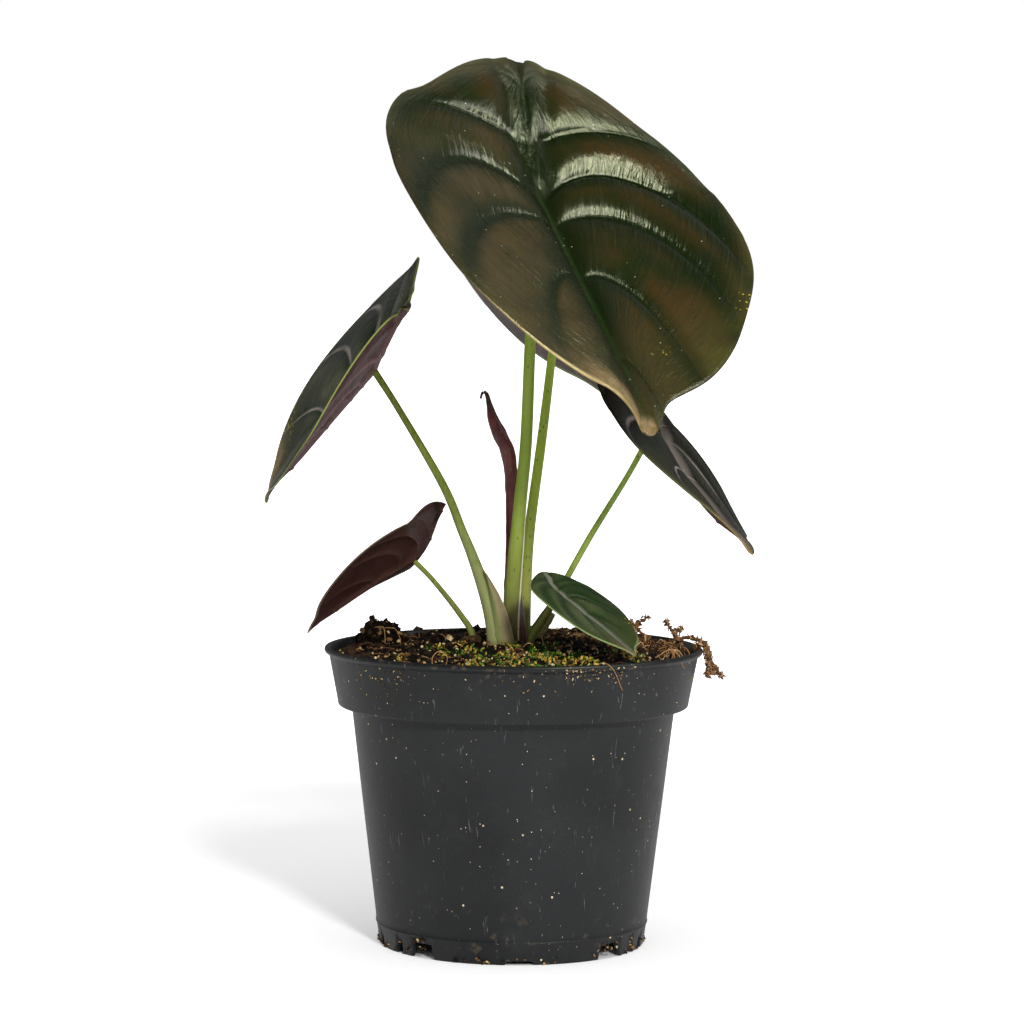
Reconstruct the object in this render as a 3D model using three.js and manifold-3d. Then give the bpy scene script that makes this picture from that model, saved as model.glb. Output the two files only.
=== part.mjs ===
import * as THREE from "three";
import { mergeVertices } from "three/addons/utils/BufferGeometryUtils.js";
import Module from "manifold-3d";

// A potted red secret alocasia: a square-shouldered nursery pot full of moss and peat,
// six peltate leaves on their stalks and one leaf that is still rolled up.
// Lengths in millimetres, angles in degrees, +Z up, the viewer's side is -Y.

// Pot
const POT_HEIGHT = 94.2;
const LIP_RADIUS = 60;
const BAND_LOW_RADIUS = 55.6;
const BAND_LOW_Z = 75.7;
const BODY_TOP_RADIUS = 51.3;
const SEAM_RADIUS = 43;
const SEAM_Z = 7;
const FOOT_RADIUS = 42;
const WALL = 1.3;
const BASE_UNDERSIDE_Z = 1.8;
const BOSS_RADIUS = 11;
const DRAIN_COUNT = 8;
const DRAIN_WIDTH = 7;
const DRAIN_LENGTH = 12;
const DRAIN_TOP_Z = 4.4;
const DRAIN_OFFSET = 3;

// Soil
const CLEARANCE = 0.35;
const SOIL_EDGE_Z = 91;
const SOIL_CROWN = 4;
const STEM_BOTTOM_Z = 84;
const MOUND = { x: -39, y: 27, height: 4, spread: 9 };

// Outline of a full-grown blade with the stalk's joint at 0,0 and the tip along +Y
const BLADE = {
  tip: 112,
  base: 56,
  halfWidth: 61,
  middle: 20,
  towardsBase: 76,
  towardsTip: 79,
  beakWidth: 6,
};
// Where the side veins leave the midrib, as shares of its length from the base
const VEINS = [0.012, 0.07, 0.207, 0.354, 0.427, 0.582, 0.811, 0.93, 0.994];
const BULGE = 1.5;
const BLADE_THICKNESS = 0.8;
const KEEL = 1.2;

// Each leaf: where its stalk meets the blade, how large the blade is against a full-grown one,
// how it hangs (heading from the viewer, droop, roll) and how it is bent
const LEAVES = {
  front: {
    at: [7.4, -15, 236.4], size: 1, width: 1, lobe: 1, beak: 13, skew: 4, ripple: 0.035,
    heading: 22, droop: 38, roll: -21, right: [25.4, -4], left: [-7.2, 10.7],
    lift: 18, fall: 0, hook: 23, twist: 1.4, rows: 4,
    columns: [0, 0.06, 0.14, 0.26, 0.42, 0.58, 0.72, 0.86, 1],
  },
  rear: {
    at: [14.8, 42, 223.3], size: 0.87, width: 1.14, lobe: 1, beak: 6, skew: 0, ripple: 0.02,
    heading: 167, droop: 41, roll: 3.7, right: [12.7, 31.6], left: [10.9, -2.5],
    lift: 18, fall: -14, hook: 9, twist: 3.9, rows: 3, columns: [0, 0.1, 0.24, 0.42, 0.62, 0.82, 1],
  },
  left: {
    at: [-46, 0, 182], size: 0.73, width: 1.05, lobe: 1, beak: 5, skew: 0, ripple: 0.02,
    heading: -145, droop: 33, roll: -46.4, right: [12, -9.4], left: [21.6, -28.6],
    lift: 10, fall: 1, hook: 25, twist: 7.6, rows: 3, columns: [0, 0.1, 0.24, 0.42, 0.62, 0.82, 1],
  },
  right: {
    at: [45.6, 5, 165.8], size: 0.7, width: 1.03, lobe: 1, beak: 5, skew: 0, ripple: 0.04,
    heading: 16, droop: 35, roll: -34.3, right: [-8.4, -9.2], left: [9.6, -10.4],
    lift: -13, fall: -20, hook: 19, twist: -2.7, rows: 3, columns: [0, 0.1, 0.24, 0.42, 0.62, 0.82, 1],
  },
  low_left: {
    at: [-32.3, 8, 121], size: 0.38, width: 1.09, lobe: 1, beak: 4, skew: 0, ripple: 0.02,
    heading: -77, droop: 27, roll: 21, right: [23, -16], left: [9, -4],
    lift: 42, fall: 12, hook: 21, twist: 6.5, rows: 2, columns: [0, 0.12, 0.3, 0.55, 0.8, 1],
  },
  small: {
    at: [13.6, -22, 113.7], size: 0.32, width: 0.92, lobe: 0.44, beak: 2, skew: 0, ripple: 0.03,
    heading: 58, droop: 33, roll: -5.5, right: [13.4, -10.8], left: [9.7, -18],
    lift: 25, fall: -1, hook: 18, twist: -5.5, rows: 2, columns: [0, 0.12, 0.3, 0.55, 0.8, 1],
  },
};

// Each stalk: points along its middle with the radius there; the last point is the blade's joint
const STALKS = {
  front: [
    [-0.9, 2.5, STEM_BOTTOM_Z, 3.5], [-0.9, 2.5, 95.5, 3.5], [-0.8, 1.8, 106, 2.9],
    [0.2, 1, 121.5, 2.45], [1.7, -0.8, 140, 2.15], [3.4, -3, 160, 1.95],
    [4.5, -8, 193, 1.8], [6.2, -12, 215, 1.75], [7.4, -15, 236.4, 1.8],
  ],
  rear: [
    [3, 11, STEM_BOTTOM_Z, 2.3], [3, 11, 94.6, 2.3], [3.4, 11.8, 110, 2],
    [4.8, 13.5, 130, 1.6], [8.5, 19, 159, 1.5], [11, 26, 180, 1.4],
    [13.6, 34, 203.7, 1.35], [14.8, 42, 223.3, 1.4],
  ],
  left: [
    [-5.9, -5, STEM_BOTTOM_Z, 4.2], [-5.9, -5, 96, 4.2], [-7.9, -5, 107, 3.3],
    [-12.3, -4, 121, 1.85], [-16.6, -3.5, 131, 1.45], [-22.7, -2.5, 145.3, 1.35],
    [-36.5, -1, 168.5, 1.1], [-46, 0, 182, 1],
  ],
  right: [
    [5.2, 6, STEM_BOTTOM_Z, 1.6], [5.2, 6, 95.2, 1.6], [8.7, 6, 101.9, 1.4],
    [13.4, 6, 109.3, 1], [24, 6, 128.6, 1], [35.9, 5, 148.5, 0.9], [45.6, 5, 165.8, 0.9],
  ],
  low_left: [
    [-12.6, 6, STEM_BOTTOM_Z, 1.1], [-13, 6, 96.3, 1.1], [-17.2, 6.5, 103.6, 1],
    [-25.9, 7.5, 114.3, 0.85], [-32.3, 8, 121, 0.8],
  ],
  small: [
    [5.5, -2, STEM_BOTTOM_Z, 1.2], [5.5, -2, 96, 1.2], [8.3, -5, 101.4, 1.1],
    [11.3, -12, 107, 0.9], [13.6, -22, 113.7, 0.8],
  ],
};

// The leaf that is still rolled up: a dry, hooked tip over a spindle
const ROLLED_LEAF = [
  [-2.6, 12, STEM_BOTTOM_Z, 1.2], [-2.4, 12, 94.6, 1.3], [-1.6, 12, 112, 1.8],
  [-1, 12, 128, 2], [-1.3, 12, 146, 2.2], [-2.6, 12, 155.2, 2.3], [-5, 12, 160.5, 2.4],
  [-7.2, 12, 165.4, 1.9], [-8.3, 12, 170.5, 1], [-9.2, 12, 174, 0.7],
  [-10.6, 12, 174.2, 0.5], [-11.1, 12, 172.2, 0.45],
];

// A root that has crept over the lip on the right
const ROOT = [
  [52, 6, 95, 0.7], [56, 4, 95.6, 0.7], [59, 2, 95.4, 0.65], [61.2, 1.4, 94.3, 0.6],
  [61.8, 1.2, 92, 0.55], [61.8, 1, 89.6, 0.5], [63.2, 1, 87, 0.5], [66, 1, 85, 0.45],
];

const rad = THREE.MathUtils.degToRad;
const wasm = await Module();
wasm.setup();
const { Manifold, Mesh } = wasm;

// Bring a closed mesh to outward faces and hand back flat arrays
function closed(points, triangles) {
  let volume = 0;
  for (const [a, b, c] of triangles) {
    volume += points[a].dot(new THREE.Vector3().crossVectors(points[b], points[c]));
  }
  const index = triangles.flatMap(([a, b, c]) => (volume < 0 ? [a, c, b] : [a, b, c]));
  const position = points.flatMap((p) => [p.x, p.y, p.z]);
  return { position, index };
}

function toManifold({ position, index }) {
  return new Manifold(new Mesh({
    numProp: 3,
    vertProperties: new Float32Array(position),
    triVerts: new Uint32Array(index),
  }));
}

function fromManifold(solid) {
  const mesh = solid.getMesh();
  return { position: Array.from(mesh.vertProperties), index: Array.from(mesh.triVerts) };
}

function toMesh(name, { position, index }, material) {
  const geometry = new THREE.BufferGeometry();
  geometry.setAttribute("position", new THREE.Float32BufferAttribute(position, 3));
  geometry.setIndex(index);
  geometry.computeVertexNormals();
  const mesh = new THREE.Mesh(geometry, material);
  mesh.name = name;
  return mesh;
}

// A three.js geometry as a solid, with its shared vertices merged
function toSolid(geometry) {
  geometry.deleteAttribute("normal");
  geometry.deleteAttribute("uv");
  const merged = mergeVertices(geometry, 1e-4);
  const spots = merged.getAttribute("position");
  const points = [];
  for (let i = 0; i < spots.count; i += 1) {
    points.push(new THREE.Vector3().fromBufferAttribute(spots, i));
  }
  const triangles = [];
  for (let i = 0; i < merged.index.count; i += 3) {
    const [a, b, c] = [0, 1, 2].map((k) => merged.index.getX(i + k));
    if (a !== b && b !== c && c !== a) {
      triangles.push([a, b, c]);
    }
  }
  return toManifold(closed(points, triangles));
}

// Solid of revolution about Z from a profile of [radius, z] that starts and ends on the axis
function revolve(profile, segments) {
  const outline = profile.map(([radius, z]) => new THREE.Vector2(radius, z));
  return toSolid(new THREE.LatheGeometry(outline, segments).rotateX(Math.PI / 2));
}

// Round bar along a smooth path of [x, y, z, radius]; the last ring lies square to `face`
function bar(path, sides, steps, grow = 0, face = null) {
  const curve = new THREE.CatmullRomCurve3(path.map(([x, y, z]) => new THREE.Vector3(x, y, z)));
  const spans = path.length - 1;
  const count = spans * steps;
  const points = [];
  const triangles = [];
  const across = new THREE.Vector3(1, 0, 0);
  for (let i = 0; i <= count; i += 1) {
    const u = i / count;
    const k = Math.min(Math.floor(u * spans), spans - 1);
    const radius = THREE.MathUtils.lerp(path[k][3], path[k + 1][3], u * spans - k) + grow;
    const centre = curve.getPoint(u);
    const along = i === count && face ? face.clone() : curve.getTangent(u);
    across.addScaledVector(along, -across.dot(along)).normalize();
    const other = new THREE.Vector3().crossVectors(along, across);
    for (let j = 0; j < sides; j += 1) {
      const angle = (2 * Math.PI * j) / sides;
      points.push(centre.clone()
        .addScaledVector(across, radius * Math.cos(angle))
        .addScaledVector(other, radius * Math.sin(angle)));
    }
  }
  for (let i = 0; i < count; i += 1) {
    for (let j = 0; j < sides; j += 1) {
      const a = i * sides + j;
      const b = i * sides + ((j + 1) % sides);
      triangles.push([a, b, b + sides], [a, b + sides, a + sides]);
    }
  }
  for (let j = 1; j < sides - 1; j += 1) {
    triangles.push([0, j + 1, j]);
    const top = count * sides;
    triangles.push([top, top + j, top + j + 1]);
  }
  return closed(points, triangles);
}

// Half outline of a blade: r runs along the margin from the base to the tip
function margin(r, leaf) {
  const s = 1 - (1 - r) ** (2.25 - 4.5 * (r - 0.55) ** 2);
  const sine = Math.sin(Math.PI * s);
  const front = s > 0.5;
  const x = BLADE.halfWidth * sine ** (front ? 1.2 : 1.35);
  const beak = front ? (leaf.beak / leaf.size) * Math.exp(-x / BLADE.beakWidth) : 0;
  const reach = front ? BLADE.towardsTip : BLADE.towardsBase;
  return [x, BLADE.middle - reach * Math.cos(Math.PI * s) + beak];
}

// Flat position of a blade point: rows of r follow the side veins, q runs from midrib to margin
function flatPoint(r, q, side, leaf) {
  const [edgeX, edgeY] = margin(r, leaf);
  const start = -BLADE.base + (BLADE.tip + BLADE.base) * r;
  const sag = (8 * (1 - r) + 12 * Math.exp(-(((r - 0.345) / 0.045) ** 2))) * Math.min(1, r / 0.12);
  const wave = 1 + leaf.ripple * side * Math.sin(24.2 * r + 3) * Math.sin(Math.PI * r) * q ** 4;
  const x = side * edgeX * Math.sin((Math.PI * q) / 2) * wave;
  let y = start + (edgeY - start) * q ** 1.6 - sag * 6.75 * q * (1 - q) ** 2;
  if (side < 0) {
    y -= leaf.skew * Math.sin(Math.PI * q) * Math.sin(Math.PI * r);
  }
  return [x * leaf.size * leaf.width, y * leaf.size * (y < 0 ? leaf.lobe : 1)];
}

// Height of the quilted upper side over the bent sheet: bulges between the veins, a channel
// along the midrib and, behind the joint, a ridge between two grooves
function relief(r, q, x, y, leaf) {
  const k = Math.max(0, VEINS.findIndex((v) => v > r) - 1);
  const phase = (r - VEINS[k]) / (VEINS[k + 1] - VEINS[k]);
  const bulge = Math.sin(Math.PI * Math.min(1, phase)) ** 0.8 * Math.min(1, q / 0.2) * (1 - q ** 6);
  const u = Math.abs(x) / leaf.size;
  const v = y / leaf.size;
  const behind = v < 0 ? Math.min(1, -v / 8) : 0;
  const channel = -1.1 * Math.exp(-((u / 3) ** 2)) * (1 - behind);
  const groove = -1.1 * Math.exp(-(((u - 2 - 0.17 * Math.abs(v)) / 2.2) ** 2)) * behind;
  const ridge = 0.7 * Math.exp(-((u / 2) ** 2)) * behind;
  const ends = Math.min(1, r / 0.07, (1 - r) / 0.07);
  return (BULGE * bulge + channel + groove + ridge) * leaf.size * ends;
}

// Course of the midrib: raised behind the joint, falling towards the tip, hooked at the end
function midribCurve(leaf) {
  const tip = BLADE.tip * leaf.size;
  const base = BLADE.base * leaf.size;
  const table = [];
  const n = 300;
  const from = -1.4 * base;
  const step = (1.25 * tip - from) / n;
  let y = 0;
  let z = 0;
  for (let i = 0; i <= n; i += 1) {
    const s = from + i * step;
    const behind = s < 0 ? -rad(leaf.lift) * (1 - Math.exp(s / (0.2 * base))) : 0;
    const ahead = s > 0 ? -rad(leaf.fall) * (s / tip) : 0;
    const last = Math.min(1.5, Math.max(0, (s - 0.8 * tip) / (0.2 * tip)));
    const angle = behind + ahead - rad(leaf.hook) * last ** 2;
    y += Math.cos(angle) * step;
    z += Math.sin(angle) * step;
    table.push([s, y, z, angle]);
  }
  const at = (s) => {
    const f = THREE.MathUtils.clamp((s - from) / step, 0, n - 1e-6);
    const i = Math.floor(f);
    return table[i].map((v, k) => v + (table[i + 1][k] - v) * (f - i));
  };
  const [, y0, z0] = at(0);
  return (s) => {
    const [, cy, cz, angle] = at(s);
    return [cy - y0, cz - z0, angle];
  };
}

// Axes of a hanging blade: across, along to the tip, and out of its upper side
function bladeAxes(leaf) {
  const [a, d, o] = [rad(leaf.heading), rad(leaf.droop), rad(leaf.roll)];
  const along = new THREE.Vector3(
    Math.sin(a) * Math.cos(d), -Math.cos(a) * Math.cos(d), -Math.sin(d));
  const up = new THREE.Vector3(Math.sin(a) * Math.sin(d), -Math.cos(a) * Math.sin(d), Math.cos(d));
  const across = new THREE.Vector3().crossVectors(along, up);
  const normal = up.clone().multiplyScalar(Math.cos(o)).addScaledVector(across, Math.sin(o));
  across.multiplyScalar(Math.cos(o)).addScaledVector(up, -Math.sin(o));
  return { across, along, normal };
}

// Bend a flat point of height h over the sheet into the hanging blade
function place(x, y, h, leaf, curve, axes) {
  const [slope, curl] = (x > 0 ? leaf.left : leaf.right).map(rad);
  const bend = curl / (BLADE.halfWidth * leaf.size * leaf.width) + 1e-6;
  const soft = 2.5 * leaf.size;
  const reach = Math.hypot(x, soft) - soft;
  const angle = (slope + bend * reach) * Math.min(1, Math.abs(x) / soft);
  let sideways = (Math.sin(slope + bend * Math.abs(x)) - Math.sin(slope)) / bend;
  let height = (Math.cos(slope) - Math.cos(slope + bend * reach)) / bend;
  sideways -= Math.sin(angle) * h;
  height += Math.cos(angle) * h;
  sideways *= Math.sign(x);
  const twist = (rad(leaf.twist) * y) / (BLADE.tip * leaf.size);
  const turnedX = sideways * Math.cos(twist) - height * Math.sin(twist);
  const turnedZ = sideways * Math.sin(twist) + height * Math.cos(twist);
  const [cy, cz, pitch] = curve(y);
  return new THREE.Vector3(...leaf.at)
    .addScaledVector(axes.across, turnedX)
    .addScaledVector(axes.along, cy - Math.sin(pitch) * turnedZ)
    .addScaledVector(axes.normal, cz + Math.cos(pitch) * turnedZ);
}

function thickness(x, leaf) {
  return BLADE_THICKNESS + KEEL * leaf.size * Math.exp(-((x / (2.2 * leaf.size)) ** 2));
}

// Closed blade: an upper and a lower skin split alike, joined round the margin
function blade(leaf) {
  const curve = midribCurve(leaf);
  const axes = bladeAxes(leaf);
  const rows = [];
  for (let k = 0; k < VEINS.length - 1; k += 1) {
    const span = VEINS[k + 1] - VEINS[k];
    const parts = Math.max(1, Math.round(leaf.rows * Math.min(1.25, span / 0.13)));
    for (let i = 0; i < parts; i += 1) {
      rows.push(VEINS[k] + (span * i) / parts);
    }
  }
  rows.push(VEINS[VEINS.length - 1]);
  const columns = [...leaf.columns.slice(1).reverse().map((q) => [q, -1]),
    ...leaf.columns.map((q) => [q, 1])];
  const width = columns.length;
  const points = [];
  for (const skin of [0, 1]) {
    for (const r of rows) {
      for (const [q, side] of columns) {
        const [x, y] = flatPoint(r, q, side, leaf);
        const h = relief(r, q, x, y, leaf) - skin * thickness(x, leaf);
        points.push(place(x, y, h, leaf, curve, axes));
      }
    }
  }
  const lower = rows.length * width;
  const triangles = [];
  for (let i = 0; i < rows.length - 1; i += 1) {
    for (let j = 0; j < width - 1; j += 1) {
      const a = i * width + j;
      const [b, c, d] = [a + 1, a + width + 1, a + width];
      const cut = j < (width - 1) / 2 ? [[a, b, c], [a, c, d]] : [[a, b, d], [b, c, d]];
      for (const [p, q, s] of cut) {
        triangles.push([p, q, s], [p + lower, s + lower, q + lower]);
      }
    }
  }
  const rim = [];
  for (let j = 0; j < width - 1; j += 1) rim.push(j);
  for (let i = 0; i < rows.length - 1; i += 1) rim.push(i * width + width - 1);
  for (let j = width - 1; j > 0; j -= 1) rim.push((rows.length - 1) * width + j);
  for (let i = rows.length - 1; i > 0; i -= 1) rim.push(i * width);
  rim.forEach((a, i) => {
    const b = rim[(i + 1) % rim.length];
    triangles.push([a, a + lower, b + lower], [a, b + lower, b]);
  });
  return closed(points, triangles);
}

// A stalk ends just under its blade's keel, square to the blade
function stalk(name) {
  const leaf = LEAVES[name];
  const { normal } = bladeAxes(leaf);
  const path = STALKS[name].map((p) => [...p]);
  const last = path[path.length - 1];
  const under = relief(1 / 3, 0, 0, 0, leaf) - thickness(0, leaf) - CLEARANCE - 0.25;
  last[0] += normal.x * under;
  last[1] += normal.y * under;
  last[2] += normal.z * under;
  return bar(path, 12, 2, 0, normal);
}

// The hole in the soil that a stalk stands in
function hole(path) {
  const [first, second, third] = path;
  const low = [first[0], first[1], first[2] - CLEARANCE, first[3]];
  return toManifold(bar([low, second, third], 16, 2, CLEARANCE));
}

function pot() {
  const inside = FOOT_RADIUS - WALL;
  const floorTop = BASE_UNDERSIDE_Z + WALL;
  const profile = [
    [0, 0], [BOSS_RADIUS, 0], [BOSS_RADIUS + 1, BASE_UNDERSIDE_Z],
    [inside - 0.4, BASE_UNDERSIDE_Z], [inside - 0.4, 0], [FOOT_RADIUS - 0.4, 0],
    [FOOT_RADIUS, 0.5], [SEAM_RADIUS - 0.2, SEAM_Z - 0.5], [SEAM_RADIUS + 0.25, SEAM_Z],
    [SEAM_RADIUS + 0.1, SEAM_Z + 0.7], [BODY_TOP_RADIUS, BAND_LOW_Z],
    [BAND_LOW_RADIUS - 0.4, BAND_LOW_Z], [BAND_LOW_RADIUS, BAND_LOW_Z + 0.5],
    [LIP_RADIUS - 1.5, POT_HEIGHT - 2.6], [LIP_RADIUS - 0.3, POT_HEIGHT - 1.8],
    [LIP_RADIUS, POT_HEIGHT - 0.9], [LIP_RADIUS - 0.3, POT_HEIGHT - 0.1],
    [LIP_RADIUS - 0.8, POT_HEIGHT], [LIP_RADIUS - 1.6, POT_HEIGHT - 0.2],
    [LIP_RADIUS - 1.5 - WALL, POT_HEIGHT - 2.6], [BAND_LOW_RADIUS - WALL, BAND_LOW_Z + WALL],
    [BODY_TOP_RADIUS - WALL, BAND_LOW_Z + WALL], [inside, floorTop], [0, floorTop],
  ];
  let body = revolve(profile, 72);
  for (let i = 0; i < DRAIN_COUNT; i += 1) {
    const slot = new THREE.BoxGeometry(DRAIN_WIDTH, DRAIN_LENGTH, 2 * DRAIN_TOP_Z);
    slot.translate(0, -(FOOT_RADIUS - 1), 0);
    slot.rotateZ(rad(DRAIN_OFFSET + (360 * i) / DRAIN_COUNT));
    body = body.subtract(toSolid(slot));
  }
  return fromManifold(body);
}

// Inner wall of the pot at a height
function wallRadius(z) {
  if (z > BAND_LOW_Z + WALL) {
    const f = (z - BAND_LOW_Z - WALL) / (POT_HEIGHT - 2.6 - BAND_LOW_Z - WALL);
    return BAND_LOW_RADIUS - WALL + f * (LIP_RADIUS - 1.5 - BAND_LOW_RADIUS);
  }
  const f = (z - BASE_UNDERSIDE_Z - WALL) / (BAND_LOW_Z - BASE_UNDERSIDE_Z);
  return FOOT_RADIUS - WALL + f * (BODY_TOP_RADIUS - FOOT_RADIUS);
}

// Top of the soil: crowned in the middle, lumpy, with one heap at the back on the left
function soilHeight(x, y) {
  const r = Math.hypot(x, y);
  const crown = SOIL_EDGE_Z + SOIL_CROWN * (1 - (r / 57) ** 2);
  const lumps = 0.55 * Math.sin(0.41 * x + 1.3) * Math.cos(0.37 * y)
    + 0.45 * Math.sin(0.83 * x - 0.6 * y + 0.5) + 0.35 * Math.cos(1.1 * y + 0.7 * x);
  const away = Math.hypot(x - MOUND.x, y - MOUND.y) / MOUND.spread;
  return crown + lumps * Math.min(1, r / 14) + MOUND.height * Math.exp(-(away ** 2));
}

function soil() {
  const sectors = 44;
  const rings = 12;
  const edge = wallRadius(SOIL_EDGE_Z - 1) - CLEARANCE - 0.3;
  const points = [new THREE.Vector3(0, 0, soilHeight(0, 0))];
  const ring = (radius, height) => {
    for (let j = 0; j < sectors; j += 1) {
      const a = (2 * Math.PI * j) / sectors;
      const [x, y] = [radius * Math.cos(a), radius * Math.sin(a)];
      points.push(new THREE.Vector3(x, y, height === null ? soilHeight(x, y) : height));
    }
  };
  for (let i = 1; i <= rings; i += 1) ring((edge * i) / rings, null);
  const shelf = BAND_LOW_Z + WALL + CLEARANCE;
  const bottom = BASE_UNDERSIDE_Z + WALL + CLEARANCE;
  ring(wallRadius(shelf + 0.1) - CLEARANCE, shelf);
  ring(wallRadius(BAND_LOW_Z) - CLEARANCE, shelf);
  ring(wallRadius(bottom) - CLEARANCE - 0.1, bottom);
  const circles = rings + 3;
  points.push(new THREE.Vector3(0, 0, bottom));
  const last = points.length - 1;
  const triangles = [];
  for (let j = 0; j < sectors; j += 1) {
    const n = (j + 1) % sectors;
    triangles.push([0, 1 + j, 1 + n]);
    for (let i = 0; i < circles - 1; i += 1) {
      const [a, b] = [1 + i * sectors + j, 1 + i * sectors + n];
      triangles.push([a, a + sectors, b + sectors], [a, b + sectors, b]);
    }
    const low = 1 + (circles - 1) * sectors;
    triangles.push([last, low + n, low + j]);
  }
  let body = toManifold(closed(points, triangles));
  for (const path of [...Object.values(STALKS), ROLLED_LEAF]) {
    body = body.subtract(hole(path));
  }
  return fromManifold(body);
}

const materials = {
  plastic: new THREE.MeshStandardMaterial({ name: "black_plastic", color: 0x36383b, roughness: 0.55 }),
  soil: new THREE.MeshStandardMaterial({ name: "peat", color: 0x3b2a1c, roughness: 1 }),
  blade: new THREE.MeshStandardMaterial({ name: "leaf_blade", color: 0x34401f, roughness: 0.35 }),
  stalk: new THREE.MeshStandardMaterial({ name: "leaf_stalk", color: 0x8aa34c, roughness: 0.5 }),
  rolled: new THREE.MeshStandardMaterial({ name: "rolled_leaf", color: 0x53242c, roughness: 0.5 }),
  root: new THREE.MeshStandardMaterial({ name: "dry_root", color: 0x9a7a4e, roughness: 0.9 }),
};

const group = new THREE.Group();
group.name = "potted_red_secret_alocasia";
group.add(toMesh("pot", pot(), materials.plastic));
group.add(toMesh("soil", soil(), materials.soil));
for (const name of Object.keys(LEAVES)) {
  group.add(toMesh(`blade_${name}`, blade(LEAVES[name]), materials.blade));
  group.add(toMesh(`stalk_${name}`, stalk(name), materials.stalk));
}
group.add(toMesh("rolled_leaf", bar(ROLLED_LEAF, 12, 2), materials.rolled));
group.add(toMesh("hanging_root", bar(ROOT, 8, 2), materials.root));

export default group;
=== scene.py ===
# %% [markdown]
# # A potted red secret alocasia
#
# A young alocasia in a black nursery pot: one large quilted leaf that faces us, a second behind it
# that turns away, four smaller leaves, one leaf that is still rolled up, and a bed of peat and
# moss. Its solids are already worked out as a frame. Here each of them gets the surface that the
# eye expects: veins that press the blade into cushions, fleshy stalks, crumbs, fibres and dusty
# plastic.

import bpy
import numpy as np
from mathutils import Matrix, Quaternion, Vector


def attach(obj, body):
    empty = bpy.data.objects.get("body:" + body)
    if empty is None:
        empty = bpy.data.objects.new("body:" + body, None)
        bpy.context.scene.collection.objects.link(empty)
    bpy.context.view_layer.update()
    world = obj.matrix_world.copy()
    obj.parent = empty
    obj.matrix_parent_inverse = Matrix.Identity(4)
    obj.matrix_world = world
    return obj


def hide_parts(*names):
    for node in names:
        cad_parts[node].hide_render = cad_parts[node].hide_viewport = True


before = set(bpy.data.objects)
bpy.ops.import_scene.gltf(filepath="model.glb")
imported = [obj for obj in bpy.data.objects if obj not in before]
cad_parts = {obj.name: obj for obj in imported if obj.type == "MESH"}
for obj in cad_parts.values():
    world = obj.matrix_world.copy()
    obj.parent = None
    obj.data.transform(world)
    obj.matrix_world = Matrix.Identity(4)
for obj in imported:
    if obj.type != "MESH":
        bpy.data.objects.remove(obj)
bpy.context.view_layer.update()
MM = 0.001
print("frame nodes:", sorted(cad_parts))

# %% [markdown]
# ## Where we look from
#
# The camera stands a little over a metre away, level with the leaves and tipped four degrees down.
# A long lens from far away keeps the pot's rim a slim ellipse. A wide lens up close would show the
# rim as a broad oval and swell the front leaf, so the distance matters more than the framing.

# %% Camera
IMAGE_SIDE = 1024
SENSOR = 36.0
FOCAL_IN_PIXELS = 3482.6
CAMERA_PLACE = (-0.86, -1100.1, 209.3)
CAMERA_DOWN = 0.0658
CAMERA_ROLL = 0.0078

camera = bpy.data.objects.new("camera", bpy.data.cameras.new("camera"))
bpy.context.scene.collection.objects.link(camera)
camera.data.sensor_width = SENSOR
camera.data.lens = FOCAL_IN_PIXELS / IMAGE_SIDE * SENSOR
camera.data.clip_start = 0.05
camera.matrix_world = (
    Matrix.Translation(np.array(CAMERA_PLACE) * MM)
    @ Matrix.Rotation(np.pi / 2 - CAMERA_DOWN, 4, "X")
    @ Matrix.Rotation(CAMERA_ROLL, 4, "Z")
)
bpy.context.scene.camera = camera
print("lens in mm:", round(camera.data.lens, 1))

# %% [markdown]
# ## Nodes without repetition
#
# A material is a small graph. Writing each link by hand would bury what it says, so a small class
# holds a node tree and adds to it in words: mix, fade, times, noise. Its methods take plain values,
# other nodes' outputs and the names of values on the mesh alike. Colours are given as the eye reads
# them on a screen, from 0 to 255.


# %% Helpers for materials
def shade(red, green, blue):
    """A screen colour from 0 to 255 as linear light: divide, then undo the display curve."""
    part = np.array([red, green, blue]) / 255
    light = np.where(part < 0.04045, part / 12.92, ((part + 0.055) / 1.055) ** 2.4)
    return (*light.tolist(), 1.0)


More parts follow.
